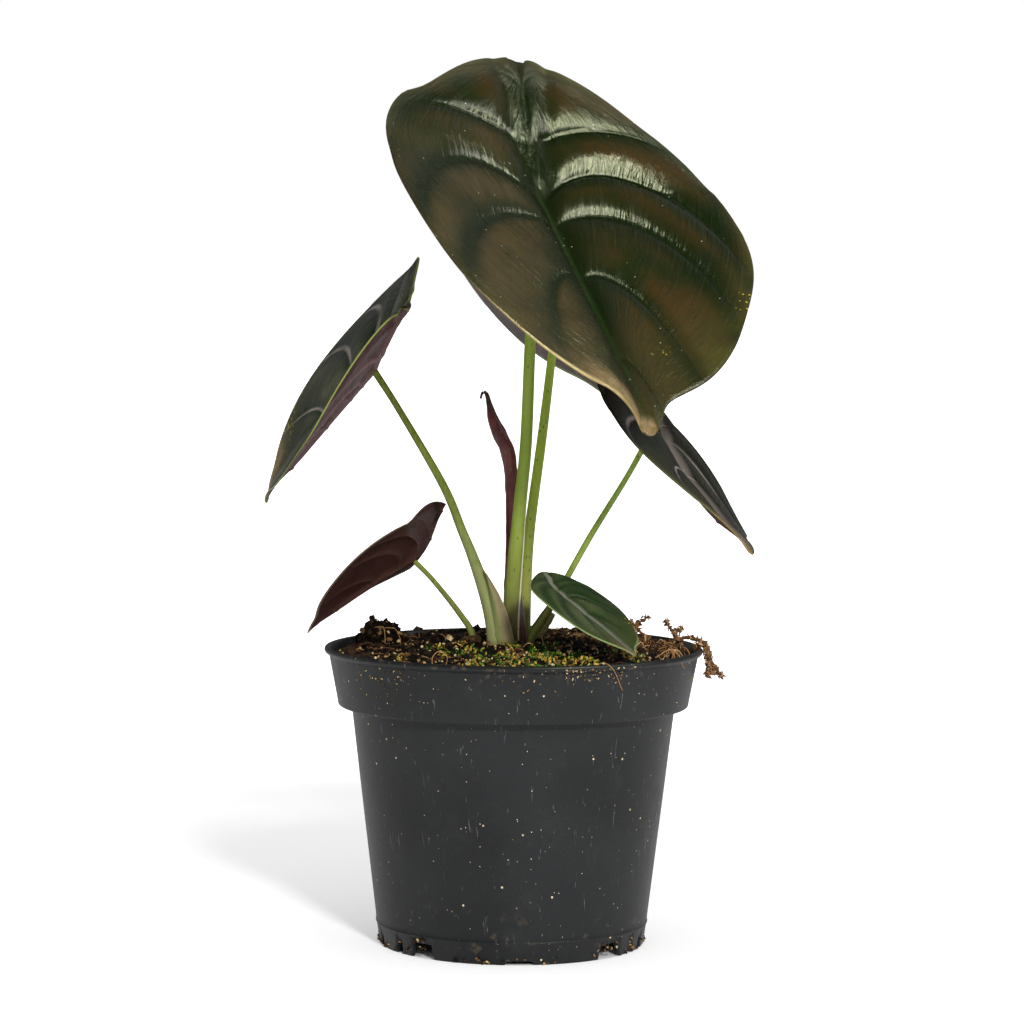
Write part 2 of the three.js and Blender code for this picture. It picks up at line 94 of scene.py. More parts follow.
class Paint:
    """A node tree with a short way to add each kind of node that is used often.

    A value may be a plain one, the output of another node, or the name of a value that the mesh
    carries at each point. Patterns lie on place, which is the surface's own place in its piece.
    """

    def __init__(self, tree):
        self.tree = tree
        self.place = None

    def feed(self, value, socket):
        """Fill a socket with a plain value, or link an output or a named mesh value to it."""
        if isinstance(value, str):
            value = self.add("Attribute", attribute_name=value).outputs["Fac"]
        if isinstance(value, bpy.types.NodeSocket):
            self.tree.links.new(value, socket)
        else:
            socket.default_value = value

    def add(self, kind, inputs=(), **settings):
        """A new node with its settings, and its inputs given by name or by number."""
        made = self.tree.nodes.new("ShaderNode" + kind)
        for key, value in settings.items():
            setattr(made, key, value)
        for key, value in dict(inputs).items():
            self.feed(value, made.inputs[key])
        return made

    def height(self):
        """How high a place lies, in metres."""
        return self.add("SeparateXYZ", {0: self.place}).outputs[2]

    def mix(self, share, first, second):
        """The first colour where share is 0 and the second where it is 1."""
        return self.add("Mix", {0: share, 6: first, 7: second}, data_type="RGBA").outputs[2]

    def maths(self, operation, first, second):
        """One sum on numbers that change over the surface."""
        return self.add("Math", {0: first, 1: second}, operation=operation).outputs[0]

    def times(self, first, second):
        """Both masks at once, or a mask made weaker."""
        return self.maths("MULTIPLY", first, second)

    def plus(self, first, second):
        """One value on top of the other."""
        return self.maths("ADD", first, second)

    def most(self, first, second):
        """Either mask, whichever is stronger."""
        return self.maths("MAXIMUM", first, second)

    def fade(self, value, start, end, low=0.0, high=1.0):
        """A smooth step: low where value is below start, high where it is above end."""
        names = ("Value", "From Min", "From Max", "To Min", "To Max")
        inputs = dict(zip(names, (value, start, end, low, high)))
        return self.add("MapRange", inputs, interpolation_type="SMOOTHSTEP").outputs[0]

    def near(self, value, start, end, high=1.0):
        """The other way round: high where value is below start, none where it is above end."""
        return self.fade(value, start, end, high, 0.0)

    def noise(self, scale, detail=2.0, roughness=0.5):
        """Soft random blots, about a unit divided by scale in size."""
        inputs = {"Vector": self.place, "Scale": scale, "Detail": detail, "Roughness": roughness}
        return self.add("TexNoise", inputs).outputs[0]

    def use(self, effect, **inputs):
        """Place a node group with its own values, on the piece's place if no other is given."""
        made = self.tree.nodes.new("ShaderNodeGroup")
        made.node_tree = effect
        for key, value in {"Vector": self.place, **inputs}.items():
            self.feed(value, made.inputs[key])
        return made.outputs[0]

    def surface(self, colour, rough, relief=None, strength=1.0, depth=0.001, **others):
        """Feed the shader: colour, roughness, a bump with its depth in metres, other sockets."""
        if relief is not None:
            bump = self.add("Bump", {"Height": relief, "Strength": strength, "Distance": depth})
            others["Normal"] = bump.outputs[0]
        sockets = self.tree.nodes["Principled BSDF"].inputs
        for name, value in {"Base Color": colour, "Roughness": rough, **others}.items():
            self.feed(value, sockets[name.replace("_", " ")])


def new_material(name):
    """A material and the paint for its tree, with patterns on Object coordinates."""
    material = bpy.data.materials.new(name)
    material.use_nodes = True
    paint = Paint(material.node_tree)
    paint.place = paint.add("TexCoord").outputs["Object"]
    return material, paint


def new_effect(name, inputs, output):
    """An empty node group: the paint for its tree, its inputs by name, and its only output."""
    tree = bpy.data.node_groups.new(name, "ShaderNodeTree")
    for label, kind, value in [("Vector", "Vector", None)] + inputs:
        socket = tree.interface.new_socket(label, in_out="INPUT", socket_type="NodeSocket" + kind)
        if value is not None:
            socket.default_value = value
    label, kind = output
    tree.interface.new_socket(label, in_out="OUTPUT", socket_type="NodeSocket" + kind)
    paint, ends = Paint(tree), tree.nodes.new("NodeGroupInput").outputs
    paint.place = ends["Vector"]
    return tree, paint, ends, tree.nodes.new("NodeGroupOutput").inputs[0]


# %% [markdown]
# ## Effects that several finishes share
#
# Living tissue, peat and dusty plastic are never one flat colour. *Patches* drifts between two
# colours. *Ribs* gives fine parallel relief along a stretched noise: leaf wrinkles and stalk
# fibres. *Specks* scatters small spots: grit on the pot, freckles on a stalk, dust on a leaf.

# %% Shared effects
PATCHES, paint, ends, end = new_effect(
    "patches",
    [("Scale", "Float", 100.0), ("First", "Color", None), ("Second", "Color", None),
     ("Low", "Float", 0.35), ("High", "Float", 0.65)],
    ("Color", "Color"),
)
share = paint.fade(paint.noise(ends["Scale"], 5.0), ends["Low"], ends["High"])
paint.feed(paint.mix(share, ends["First"], ends["Second"]), end)

RIBS, paint, ends, end = new_effect(
    "ribs", [("Stretch", "Vector", (1.0, 1.0, 1.0)), ("Warp", "Float", 0.3)], ("Height", "Float")
)
scaled = paint.add("VectorMath", {0: paint.place, 1: ends["Stretch"]}, operation="MULTIPLY")
noise = paint.add("TexNoise", {"Vector": scaled.outputs[0], "Scale": 1.0, "Detail": 4.0,
                               "Distortion": ends["Warp"]})
paint.feed(noise.outputs[0], end)

SPECKS, paint, ends, end = new_effect(
    "specks", [("Scale", "Float", 300.0), ("Size", "Float", 0.2), ("Share", "Float", 0.3)],
    ("Mask", "Float")
)
cell = paint.add("TexVoronoi", {"Vector": paint.place, "Scale": ends["Scale"]})
spot = paint.maths("LESS_THAN", cell.outputs["Distance"], ends["Size"])
lot = paint.add("SeparateColor", {0: cell.outputs["Color"]})
chosen = paint.maths("LESS_THAN", lot.outputs[0], ends["Share"])
paint.feed(paint.times(spot, chosen), end)
print("shared effects:", [tree.name for tree in (PATCHES, RIBS, SPECKS)])

# %% [markdown]
# ## Floor and light
#
# A white floor that runs into a white backdrop, as in a studio. One soft lamp stands in front on
# the right, a little above the leaves. It throws the pot's shadow to the back left and makes no
# glints. Those come from two panels that show only as reflections: a strip box over the plant,
# whose image breaks into one bright bar on each cushion of the leaf's right half, and a card at
# the side that lights the crests of the left half. One lamp could do all of this, but then moving
# a glint would move the shadow too, so each lamp has one job.
#
# The backdrop is white where it is seen, gives an even fill, and is dark overhead and behind the
# camera, so that a lacquered leaf stays dark between its glints. The floor looks a shade greyer in
# reflections, because the real sheet of white ended soon. Far from the pot it glows a little, to
# the eye alone, and meets the backdrop in plain white without washing out the shadow.

# %% Floor
FLOOR_HALF = 30.0
FLOOR_WHITE = (0.86, 0.86, 0.86, 1.0)
FLOOR_IN_REFLECTIONS = (0.72, 0.72, 0.72, 1.0)
WHITE = (1.0, 1.0, 1.0, 1.0)
# The glow by distance from the pot's axis in metres: none under the foot, a little round the pot,
# and full where the floor should meet the backdrop
GLOW_NEAR = 0.24
GLOW_RISES = (0.3, 0.55)
GLOW_BEGINS = (0.0415, 0.0425)

floor_white, paint = new_material("floor_white")
away = paint.add("VectorMath", {0: paint.place}, operation="LENGTH").outputs["Value"]
ray = paint.add("LightPath").outputs
whiteness = paint.mix(ray["Is Glossy Ray"], FLOOR_WHITE, FLOOR_IN_REFLECTIONS)
glow = paint.times(paint.fade(away, *GLOW_RISES, GLOW_NEAR, 1.0), ray["Is Camera Ray"])
glow = paint.times(paint.fade(away, *GLOW_BEGINS), glow)
paint.surface(whiteness, 0.9, Specular_IOR_Level=0.1, Emission_Strength=glow, Emission_Color=WHITE)
floor_mesh = bpy.data.meshes.new("floor")
corners = [(x * FLOOR_HALF, y * FLOOR_HALF, 0) for x, y in ((-1, -1), (1, -1), (1, 1), (-1, 1))]
floor_mesh.from_pydata(corners, [], [(0, 1, 2, 3)])
floor_mesh.materials.append(floor_white)
floor = bpy.data.objects.new("floor", floor_mesh)
bpy.context.scene.collection.objects.link(floor)


# %% Lamps
def soft_lamp(name, place, aim, width, height, power, spin=0.0):
    """A rectangular lamp at a place in metres that faces a point, turned in its own plane."""
    lamp = bpy.data.objects.new(name, bpy.data.lights.new(name, "AREA"))
    lamp.data.shape = "RECTANGLE"
    lamp.data.size, lamp.data.size_y = width, height
    lamp.data.energy = power
    lamp.location = place
    lamp.rotation_mode = "QUATERNION"
    facing = (Vector(aim) - Vector(place)).to_track_quat("-Z", "Y")
    lamp.rotation_quaternion = facing @ Quaternion((0, 0, 1), np.radians(spin))
    bpy.context.scene.collection.objects.link(lamp)
    return lamp


key = soft_lamp("front_lamp", (0.5, -1.75, 0.95), (0, 0, 0.1), 0.22, 0.22, power=32)
strip = soft_lamp("strip_box", (0.596, -0.65, 1.013), (0.036, -0.13, 0.123), 0.32, 0.86,
                  power=12.7, spin=-23)
card = soft_lamp("side_card", (0.98, -0.17, 0.9), (0, -0.02, 0.21), 0.34, 0.34, power=2.6)
strip.visible_diffuse = card.visible_diffuse = key.visible_glossy = False
strip.data.color = (0.92, 1.0, 0.8)

# %% Backdrop
BACK_SHEET = 0.17
FILL = 0.75
LEAST = 0.03

world = bpy.data.worlds.new("studio")
bpy.context.scene.world = world
world.use_nodes = True
sky = Paint(world.node_tree)
towards = sky.add("SeparateXYZ", {0: sky.add("TexCoord").outputs["Generated"]}).outputs
sheet = sky.times(sky.fade(towards[1], 0.1, 0.6), sky.near(towards[2], 0.6, 0.9, BACK_SHEET))
ray = sky.add("LightPath").outputs
fill = sky.plus(sky.times(ray["Is Diffuse Ray"], FILL), LEAST)
background = world.node_tree.nodes["Background"].inputs
sky.feed(sky.most(sky.plus(sheet, fill), ray["Is Camera Ray"]), background["Strength"])
sky.feed(WHITE, background["Color"])
bpy.context.scene.view_settings.view_transform = "Standard"

# %% [markdown]
# ## Surfaces as arrays
#
# Each new piece is a function of two parameters on a grid. There are two kinds of grid here. A
# stack of rings, closed at both poles, makes everything that is round: pot, peat, stalks, fibres
# and grains. A sheet with two skins makes everything that is flat: blades and dry sheaths.


# %% Helpers for meshes
def even_angles(count):
    """Angles that divide a full turn evenly."""
    return np.arange(count) / count * 2 * np.pi


def round_axis(radius, angle, height):
    """Points at a distance from the pot's axis, at an angle round it and at a height."""
    radius, angle, height = np.broadcast_arrays(radius, angle, height)
    return np.stack([radius * np.cos(angle), radius * np.sin(angle), height], -1)


def grid_faces(rows, columns, wrap=False):
    """Four-sided faces of a grid that is numbered row by row; wrap joins its two side edges."""
    i, j = np.meshgrid(np.arange(rows - 1), np.arange(columns - (not wrap)), indexing="ij")
    here = i * columns + j
    beside = i * columns + (j + 1) % columns
    return np.stack([here, beside, beside + columns, here + columns], -1).reshape(-1, 4)


def capped_faces(rings, sides):
    """Faces of a stack of rings whose ends close on two poles, numbered after the rings."""
    j = np.arange(sides)
    beside = (j + 1) % sides
    top = (rings - 1) * sides
    low_pole = rings * sides
    caps = [np.stack([np.full(sides, low_pole), beside, j], -1),
            np.stack([np.full(sides, low_pole + 1), top + j, top + beside], -1)]
    return [grid_faces(rings, sides, wrap=True), np.concatenate(caps)]


def two_skins(rows, columns):
    """Faces of an upper and a lower grid, numbered one after the other and joined at the rim."""
    upper = grid_faces(rows, columns)
    lower = upper[:, ::-1] + rows * columns
    rim = np.concatenate([
        np.arange(columns - 1),
        np.arange(rows - 1) * columns + columns - 1,
        (rows - 1) * columns + np.arange(columns - 1, 0, -1),
        np.arange(rows - 1, 0, -1) * columns,
    ])
    ahead = np.roll(rim, -1)
    wall = np.stack([rim, rim + rows * columns, ahead + rows * columns, ahead], -1)
    return [np.concatenate([upper, lower, wall])]


def outward(points, blocks):
    """Turn the faces round where the volume that they enclose comes out negative."""
    volume = 0.0
    for faces in blocks:
        for k in range(1, faces.shape[1] - 1):
            a, b, c = points[faces[:, 0]], points[faces[:, k]], points[faces[:, k + 1]]
            volume += (a * np.cross(b, c)).sum()
    return [faces[:, ::-1] for faces in blocks] if volume < 0 else blocks


def joined(parts):
    """Several (points, blocks, marks) as one; a block is an array of faces with equal sides."""
    points, blocks, marks, count = [], [], {}, 0
    for part_points, part_blocks, part_marks in parts:
        points.append(part_points)
        blocks += [faces + count for faces in outward(part_points, part_blocks)]
        for key, values in part_marks.items():
            marks.setdefault(key, []).append(np.broadcast_to(values, len(part_points)))
        count += len(part_points)
    return np.concatenate(points), blocks, {k: np.concatenate(v) for k, v in marks.items()}


def make_piece(name, parts, material, node, chart=None, crease=180):
    """A mesh in metres from its parts: marks become point values and the chart a UV map.

    It takes the place of a frame node if one is named. Edges sharper than crease stay hard.
    """
    points, blocks, marks = joined(parts)
    corners = np.concatenate([faces.ravel() for faces in blocks]).astype(np.int32)
    sides = np.concatenate([np.full(len(faces), faces.shape[1]) for faces in blocks])
    mesh = bpy.data.meshes.new(name)
    mesh.vertices.add(len(points))
    mesh.vertices.foreach_set("co", (points * MM).astype(np.float32).ravel())
    mesh.loops.add(len(corners))
    mesh.loops.foreach_set("vertex_index", corners)
    mesh.polygons.add(len(sides))
    mesh.polygons.foreach_set("loop_start", (np.cumsum(sides) - sides).astype(np.int32))
    mesh.update(calc_edges=True)
    mesh.validate()
    mesh.polygons.foreach_set("use_smooth", np.ones(len(sides), bool))
    if crease < 180:
        mesh.set_sharp_from_angle(angle=np.radians(crease))
    for key, values in marks.items():
        layer = mesh.attributes.new(key, "FLOAT", "POINT")
        layer.data.foreach_set("value", values.astype(np.float32))
    if chart is not None:
        layer = mesh.uv_layers.new(name="chart")
        layer.data.foreach_set("uv", chart[corners].astype(np.float32).ravel())
    mesh.materials.append(material)
    piece = bpy.data.objects.new(name, mesh)
    bpy.context.scene.collection.objects.link(piece)
    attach(piece, "root")
    if node:
        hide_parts(node)
    print(name, len(points), "points,", int((sides - 2).sum()), "triangles")


def smooth_path(stations, steps):
    """A curve through the stations: between two of them each number runs along the cubic that
    has the slope of its neighbours' chord at either end."""
    knots = np.array(stations, float)
    padded = np.concatenate([2 * knots[:1] - knots[1:2], knots, 2 * knots[-1:] - knots[-2:-1]])
    u = np.linspace(0, len(knots) - 1, (len(knots) - 1) * steps + 1)
    k = np.minimum(u.astype(int), len(knots) - 2)
    f = (u - k)[:, None]
    p0, p1, p2, p3 = (padded[k + shift] for shift in range(4))
    return 0.5 * (2 * p1 + (p2 - p0) * f + (2 * p0 - 5 * p1 + 4 * p2 - p3) * f**2
                  + (3 * p1 - p0 - 3 * p2 + p3) * f**3)


def bars(middle, radius, sides, aside=(1.0, 0.0, 0.0), turn=0.0):
    """Round bars: point = middle + radius * (cos a * across + sin a * other), closed at poles.

    middle is (bars, rings, 3); radius is (bars, rings) or (bars, rings, sides); turn is added to
    the angle a of each ring.
    """
    along = np.gradient(middle, axis=1)
    along /= np.linalg.norm(along, axis=2, keepdims=True)
    aside = np.array(aside, float)
    across = aside - (along @ aside)[..., None] * along
    across /= np.linalg.norm(across, axis=2, keepdims=True)
    other = np.cross(along, across)
    angle = (even_angles(sides) + np.reshape(turn, (-1, 1)))[None, ..., None]
    spokes = np.cos(angle) * across[:, :, None] + np.sin(angle) * other[:, :, None]
    if radius.ndim == 2:
        radius = radius[..., None]
    skins = middle[:, :, None] + radius[..., None] * spokes
    count, rings = middle.shape[:2]
    points = np.concatenate([skins.reshape(count, -1, 3), middle[:, :1], middle[:, -1:]], 1)
    return copies(points, outward(points[0], capped_faces(rings, sides)))


def copies(points, blocks):
    """Many like bodies as one: points is (bodies, points, 3), and each body repeats the faces."""
    count, size = points.shape[:2]
    shift = np.arange(count)[:, None, None] * size
    return points.reshape(-1, 3), [(faces + shift).reshape(-1, faces.shape[1]) for faces in blocks]


WAVES = 24


def bell(distance, width):
    """1 where the distance is 0, falling off smoothly to a third at the width."""
    return np.exp(-((distance / width) ** 2))


def uneven(x, y, size, seed):
    """Soft random height from -1 to 1: a sum of waves about size long, in all directions."""
    dice = np.random.default_rng(seed)
    heading = dice.uniform(0, 2 * np.pi, WAVES)
    pace = 2 * np.pi / (size * dice.uniform(0.6, 1.8, WAVES))
    start = dice.uniform(0, 2 * np.pi, WAVES)
    travel = x[..., None] * np.cos(heading) + y[..., None] * np.sin(heading)
    return np.sin(travel * pace + start).sum(-1) / np.sqrt(WAVES) / 1.5


# %% [markdown]
# ## The pot
#
# A grower's pot is one thin moulding: a rolled lip, a band with a sharp step under it, a tapered
# body, a hair-fine seam where the mould parts, and a foot that is notched so that water runs out.
# All of it is turned, so a profile carried round the axis gives it. Only the foot differs round the
# axis, and there the lower edge simply rises to the height of each notch. Cutting the notches with
# booleans would give the same shape with worse faces.

# %% The pot's shape
POT_HEIGHT = 94.2
LIP_RADIUS = 60.0
BAND_LOW_RADIUS = 55.6
BAND_LOW_Z = 75.7
BODY_TOP_RADIUS = 51.3
SEAM_RADIUS = 43.0
SEAM_Z = 7.0
FOOT_RADIUS = 42.0
WALL = 1.3
BAND_RUN = 16
BAND_FLARE = 2.9
STEP_FILLET = 0.8
CORNER_FILLET = 0.7
LIP_ROLL = 1
BASE_Z = 1.8
BOSS_RADIUS = 11.0
POT_SEGMENTS = 480
# Notches in the foot: degrees from the front, length along the foot, height
NOTCHES = [
    (3.6, 8.5, 1.2), (-41, 8.2, 4.6), (-55.5, 3.0, 4.0), (46.5, 8.8, 4.6), (61.5, 2.2, 4.2),
    (72, 3.4, 3.4), (-74, 3.0, 3.4), (100, 8.5, 4.5), (-100, 8.5, 4.5), (135, 8.5, 4.5),
    (-135, 8.5, 4.5), (180, 8.5, 4.5),
]
NOTCH_SLANT = 0.9


def notch_height(angle):
    """How far the foot's edge rises: for each notch, a plateau of its height with slanted ends."""
    rise = np.zeros_like(angle)
    for degrees, length, height in NOTCHES:
        away = (angle - np.radians(degrees - 90) + np.pi) % (2 * np.pi) - np.pi
        gap = np.abs(away) * FOOT_RADIUS - length / 2
        rise = np.maximum(rise, height * np.clip(0.5 - gap / NOTCH_SLANT, 0, 1))
    return rise


def arc(centre_r, centre_z, radius, start, end, count):
    """Points of a profile on a circle, from one angle in degrees to another."""
    a = np.radians(np.linspace(start, end, count))
    return [(centre_r + radius * np.cos(t), centre_z + radius * np.sin(t)) for t in a]


def pot_profile():
    """Radius and height from the boss under the base, up the outside, over the lip and down."""
    inner_foot = FOOT_RADIUS - WALL
    seam = [(SEAM_RADIUS - 0.05, SEAM_Z - 0.55), (SEAM_RADIUS + 0.22, SEAM_Z - 0.25),
            (SEAM_RADIUS + 0.28, SEAM_Z), (SEAM_RADIUS + 0.12, SEAM_Z + 0.35)]
    heights = np.linspace(SEAM_Z + 2, BAND_LOW_Z - 1.5, 12)
    taper = (BODY_TOP_RADIUS - SEAM_RADIUS) / (BAND_LOW_Z - SEAM_Z)
    body = [(SEAM_RADIUS + taper * (z - SEAM_Z), z) for z in heights]
    step = arc(BODY_TOP_RADIUS + STEP_FILLET, BAND_LOW_Z - STEP_FILLET, STEP_FILLET, 180, 90, 4)
    corner = arc(BAND_LOW_RADIUS - CORNER_FILLET, BAND_LOW_Z + CORNER_FILLET, CORNER_FILLET,
                 -90, -8, 5)
    band = [(BAND_LOW_RADIUS + f * (LIP_RADIUS - 1.5 - BAND_LOW_RADIUS),
             BAND_LOW_Z + 0.9 + f * (POT_HEIGHT - 3.4 - BAND_LOW_Z)) for f in (0.1, 0.4, 0.7, 1)]
    lip = arc(LIP_RADIUS - LIP_ROLL, POT_HEIGHT - LIP_ROLL, LIP_ROLL, -60, 150, 10)
    inside = [(LIP_RADIUS - 1.5 - WALL, POT_HEIGHT - 3),
              (BAND_LOW_RADIUS - WALL, BAND_LOW_Z + WALL),
              (BODY_TOP_RADIUS - WALL, BAND_LOW_Z + WALL), (SEAM_RADIUS - WALL, SEAM_Z),
              (inner_foot - 6, BASE_Z + WALL)]
    under = [(BOSS_RADIUS, 0), (BOSS_RADIUS + 1, BASE_Z), (inner_foot - 6, BASE_Z),
             (inner_foot - 4, SEAM_Z - 1.6), (inner_foot, SEAM_Z - 1.6), (inner_foot, 0.3),
             (inner_foot + 0.3, 0), (FOOT_RADIUS - 0.3, 0), (FOOT_RADIUS, 0.3)]
    return np.array(under + seam + body + step + corner + band + lip + inside)


profile = pot_profile()
ring_radius, ring_z = profile[:, :1], profile[:, 1:]
turn = even_angles(POT_SEGMENTS)
on_foot = (ring_radius > FOOT_RADIUS - WALL - 1) & (ring_z < SEAM_Z - 1)
ring_z = np.where(on_foot, np.maximum(ring_z, notch_height(turn)), ring_z)
shell = round_axis(ring_radius, turn, ring_z)
pot_points = np.concatenate([shell.reshape(-1, 3), [[0, 0, 0], [0, 0, BASE_Z + WALL]]])
print("pot rings:", len(profile), "notches:", len(NOTCHES))

# %% [markdown]
# ## Dusty black plastic
#
# The plastic itself is dark grey with a satin skin. What makes it look used is on top of it: a pale
# film of dust that is patchy and thicker low down, grit thrown up from the peat, fine scratches and
# a line of dried dirt under the lip. Each is a mask over the same base, so they stay easy to tune.

# %% The pot's finish
plastic, paint = new_material("black_plastic")
height = paint.height()
base = paint.use(PATCHES, Scale=28.0, First=shade(25, 26, 27), Second=shade(32, 33, 34))
film = paint.fade(paint.noise(75.0, 9.0, 0.72), 0.5, 0.8, 0.0, 0.3)
colour = paint.mix(film, base, shade(62, 62, 60))
streak = paint.use(RIBS, Stretch=(900.0, 900.0, 40.0), Warp=1.2)
colour = paint.mix(paint.fade(streak, 0.66, 0.74, 0.0, 0.5), colour, shade(118, 120, 122))
low_or_under_lip = paint.most(paint.near(height, 0.002, 0.022), paint.fade(height, 0.086, 0.0925))
dirt = paint.fade(paint.noise(260.0, 6.0), 0.6, 0.68)
dirt = paint.times(dirt, paint.times(low_or_under_lip, 0.3))
colour = paint.mix(dirt, colour, shade(104, 90, 70))
grit = paint.use(SPECKS, Scale=330.0, Size=0.12, Share=0.1)
fine_grit = paint.use(SPECKS, Scale=700.0, Size=0.12, Share=0.14)
tone = paint.use(PATCHES, Scale=300.0, First=shade(205, 190, 160), Second=shade(130, 110, 85))
colour = paint.mix(paint.most(grit, fine_grit), colour, tone)
grain = paint.plus(paint.noise(1500.0, 3.0), paint.times(grit, 2.0))
paint.surface(colour, paint.plus(paint.times(film, 0.5), 0.4), grain, 0.25, 0.0002,
              Specular_IOR_Level=0.3)

make_piece("pot_shell", [(pot_points, capped_faces(len(profile), POT_SEGMENTS), {})],
           plastic, "pot", crease=38)

# %% [markdown]
# ## The bed of peat
#
# The peat fills the pot to a few millimetres under the lip. It is crowned round the stems, lumpy,
# and heaped at the back on the left. The bed is one closed body of rings, and its top is a height
# that is worked out at each point. What lies loose on it comes next as pieces of their own.

# %% The bed's shape
SOIL_EDGE_Z = 91.0
SOIL_CROWN = 4.0
SOIL_EDGE_RADIUS = 57.0
MOUND = (-44.0, 27.0)
MOUND_HEIGHT = 6.5
MOUND_SPREAD = 7.0
BANK_HEIGHT = 2.4
# Height, length and seed of the lumps, from large to small
LUMPS = [(0.9, 15, 3), (0.55, 5, 4), (0.3, 2.2, 5)]
BED_SEGMENTS = 200
BED_RADII = np.append(np.linspace(0.8, 56.4, 70), 56.6)[:, None]
BED_WALL_Z = np.array([[82.0], [78.0], [76.2], [40.0], [7.6]])
BED_CLEARANCE = 0.25


def soil_height(x, y):
    """Crown plus long and short lumps, a heap that falls off as a bell, and a bank at the back."""
    out_from_middle = np.hypot(x, y)
    crown = SOIL_EDGE_Z + SOIL_CROWN * (1 - (out_from_middle / SOIL_EDGE_RADIUS) ** 2)
    lumps = sum(height * uneven(x, y, length, seed) for height, length, seed in LUMPS)
    away = np.hypot(x - MOUND[0], y - MOUND[1]) / MOUND_SPREAD
    heap = MOUND_HEIGHT * np.exp(-away**4) * (1 + 0.25 * uneven(x, y, 3, 6))
    bank = BANK_HEIGHT * np.clip((y - 34) / 18, 0, 1)
    return crown + lumps * np.minimum(1, out_from_middle / 14) + heap + bank


def inner_wall(z):
    """Radius of the pot's inside at a height in the band or in the body."""
    band = BAND_LOW_RADIUS - WALL + (z - BAND_LOW_Z - WALL) / BAND_RUN * BAND_FLARE
    body = FOOT_RADIUS - WALL + (z - BASE_Z - WALL) / BAND_LOW_Z * (BODY_TOP_RADIUS - FOOT_RADIUS)
    return np.where(z > BAND_LOW_Z + WALL, band, body)


turn = even_angles(BED_SEGMENTS)
top = round_axis(BED_RADII, turn, 0.0)
top[..., 2] = soil_height(top[..., 0], top[..., 1])
side = round_axis(inner_wall(BED_WALL_Z) - BED_CLEARANCE, turn, BED_WALL_Z)
bed = np.concatenate([top, side])
poles = [[0, 0, SOIL_EDGE_Z + SOIL_CROWN], [0, 0, BED_WALL_Z[-1, 0]]]
bed_points = np.concatenate([bed.reshape(-1, 3), poles])
print("bed rings:", len(bed), "lowest top:", round(float(top[..., 2].min()), 1))

# %% [markdown]
# ## Nearly black peat
#
# Wet peat is among the darkest things in the picture. Two drifts of tone at different sizes, clods
# and crumbs, keep it from going flat, and a deep bump gives each clod a lit and a dark side.

# %% The peat's finish
peat, paint = new_material("peat")
clods = paint.use(PATCHES, Scale=420.0, First=shade(11, 9, 7), Second=shade(30, 22, 16))
crumb_tone = paint.use(PATCHES, Scale=1400.0, First=shade(10, 8, 6), Second=shade(84, 68, 46),
                       Low=0.55, High=0.85)
paint.surface(paint.mix(0.5, clods, crumb_tone), 0.95, paint.noise(900.0, 8.0, 0.7), 0.9, 0.0012)

make_piece("peat_bed", [(bed_points, capped_faces(len(bed), BED_SEGMENTS), {})], peat, "soil")

# %% [markdown]
# ## One blade, six times
#
# All the blades are the same organ at different ages: a shield with its stalk joined inside the
# outline, a strong midrib, and side veins that sweep out and forward. So there is one flat blade,
# worked out once, which is sized, bent and hung for each leaf.
#
# The grid follows the plant. Its rows *are* the side veins: where a row meets the midrib and where
# it meets the margin is what the eye reads as the leaf's character. A blade cut from an outline
# with veins painted on would shade like a flat card, because no face would run along a vein.

# %% The blades' values
BLADE_TIP = 112.0
BLADE_BASE = 56.0
HALF_WIDTH = 61.0
MIDDLE = 20.0
TOWARDS_BASE = 76.0
TOWARDS_TIP = 79.0
BEAK_WIDTH = 6.0
# Where along the midrib the rows sag most, just ahead of the joint
JOINT_AT = 0.345
EDGE_THICKNESS = 0.45
KEEL = 1.5
KEEL_WIDTH = 2.2
VEIN_WIDTH = 1.1
RIB_HEIGHT = 0.22
CHANNEL_DEPTH = 1.1
GROOVE_DEPTH = 0.8
# Where the side veins leave the midrib, as shares of its length from the base
VEINS = np.array([0.012, 0.07, 0.207, 0.354, 0.427, 0.582, 0.811, 0.93, 0.994])
# For each cushion between two veins: its height, how far it reaches from the midrib to the margin,
# and where its crest lies (over 1 is nearer the vein on the tip's side)
BULGES = np.array([0.9, 2.1, 1.7, 2.3, 1.5, 1.2, 0.6, 0.1])
REACHES = np.array([0.8, 0.55, 1, 1, 0.9, 1, 1, 1])
CRESTS = np.array([1, 1.6, 1.35, 1.0, 0.95, 0.95, 0.95, 0.95])
# How round each crest is and how steeply it falls to the veins
CREST_ROUND = 0.3
STEEPNESS = 1.95

# How far the front leaf's own outline swells (+) or shrinks from the shared one, from the base to
# the tip, for the right and the left half
OUTLINE_AT = [0, 0.05, 0.1, 0.16, 0.19, 0.22, 0.26, 0.3, 0.38, 0.46, 0.54, 0.62, 0.7, 0.78,
              0.86, 0.93, 1]
OUTLINE_RIGHT = [-0.4, 1.8, 1.4, 0.1, 2.0, 3.6, 1.2, -1.5, -3.7, -0.5, -0.2, 0.3, 1, 0.9,
                 1.3, 1.3, 0.7]
OUTLINE_LEFT = [0, 0.4, 0.2, -2.6, 1.2, 0.8, -2.6, -0.6, 0, -1.9, 0.5, 0.9, -0.7, -0.7,
                -0.4, 0.5, 1.4]
OUTLINE_STEPS = 8

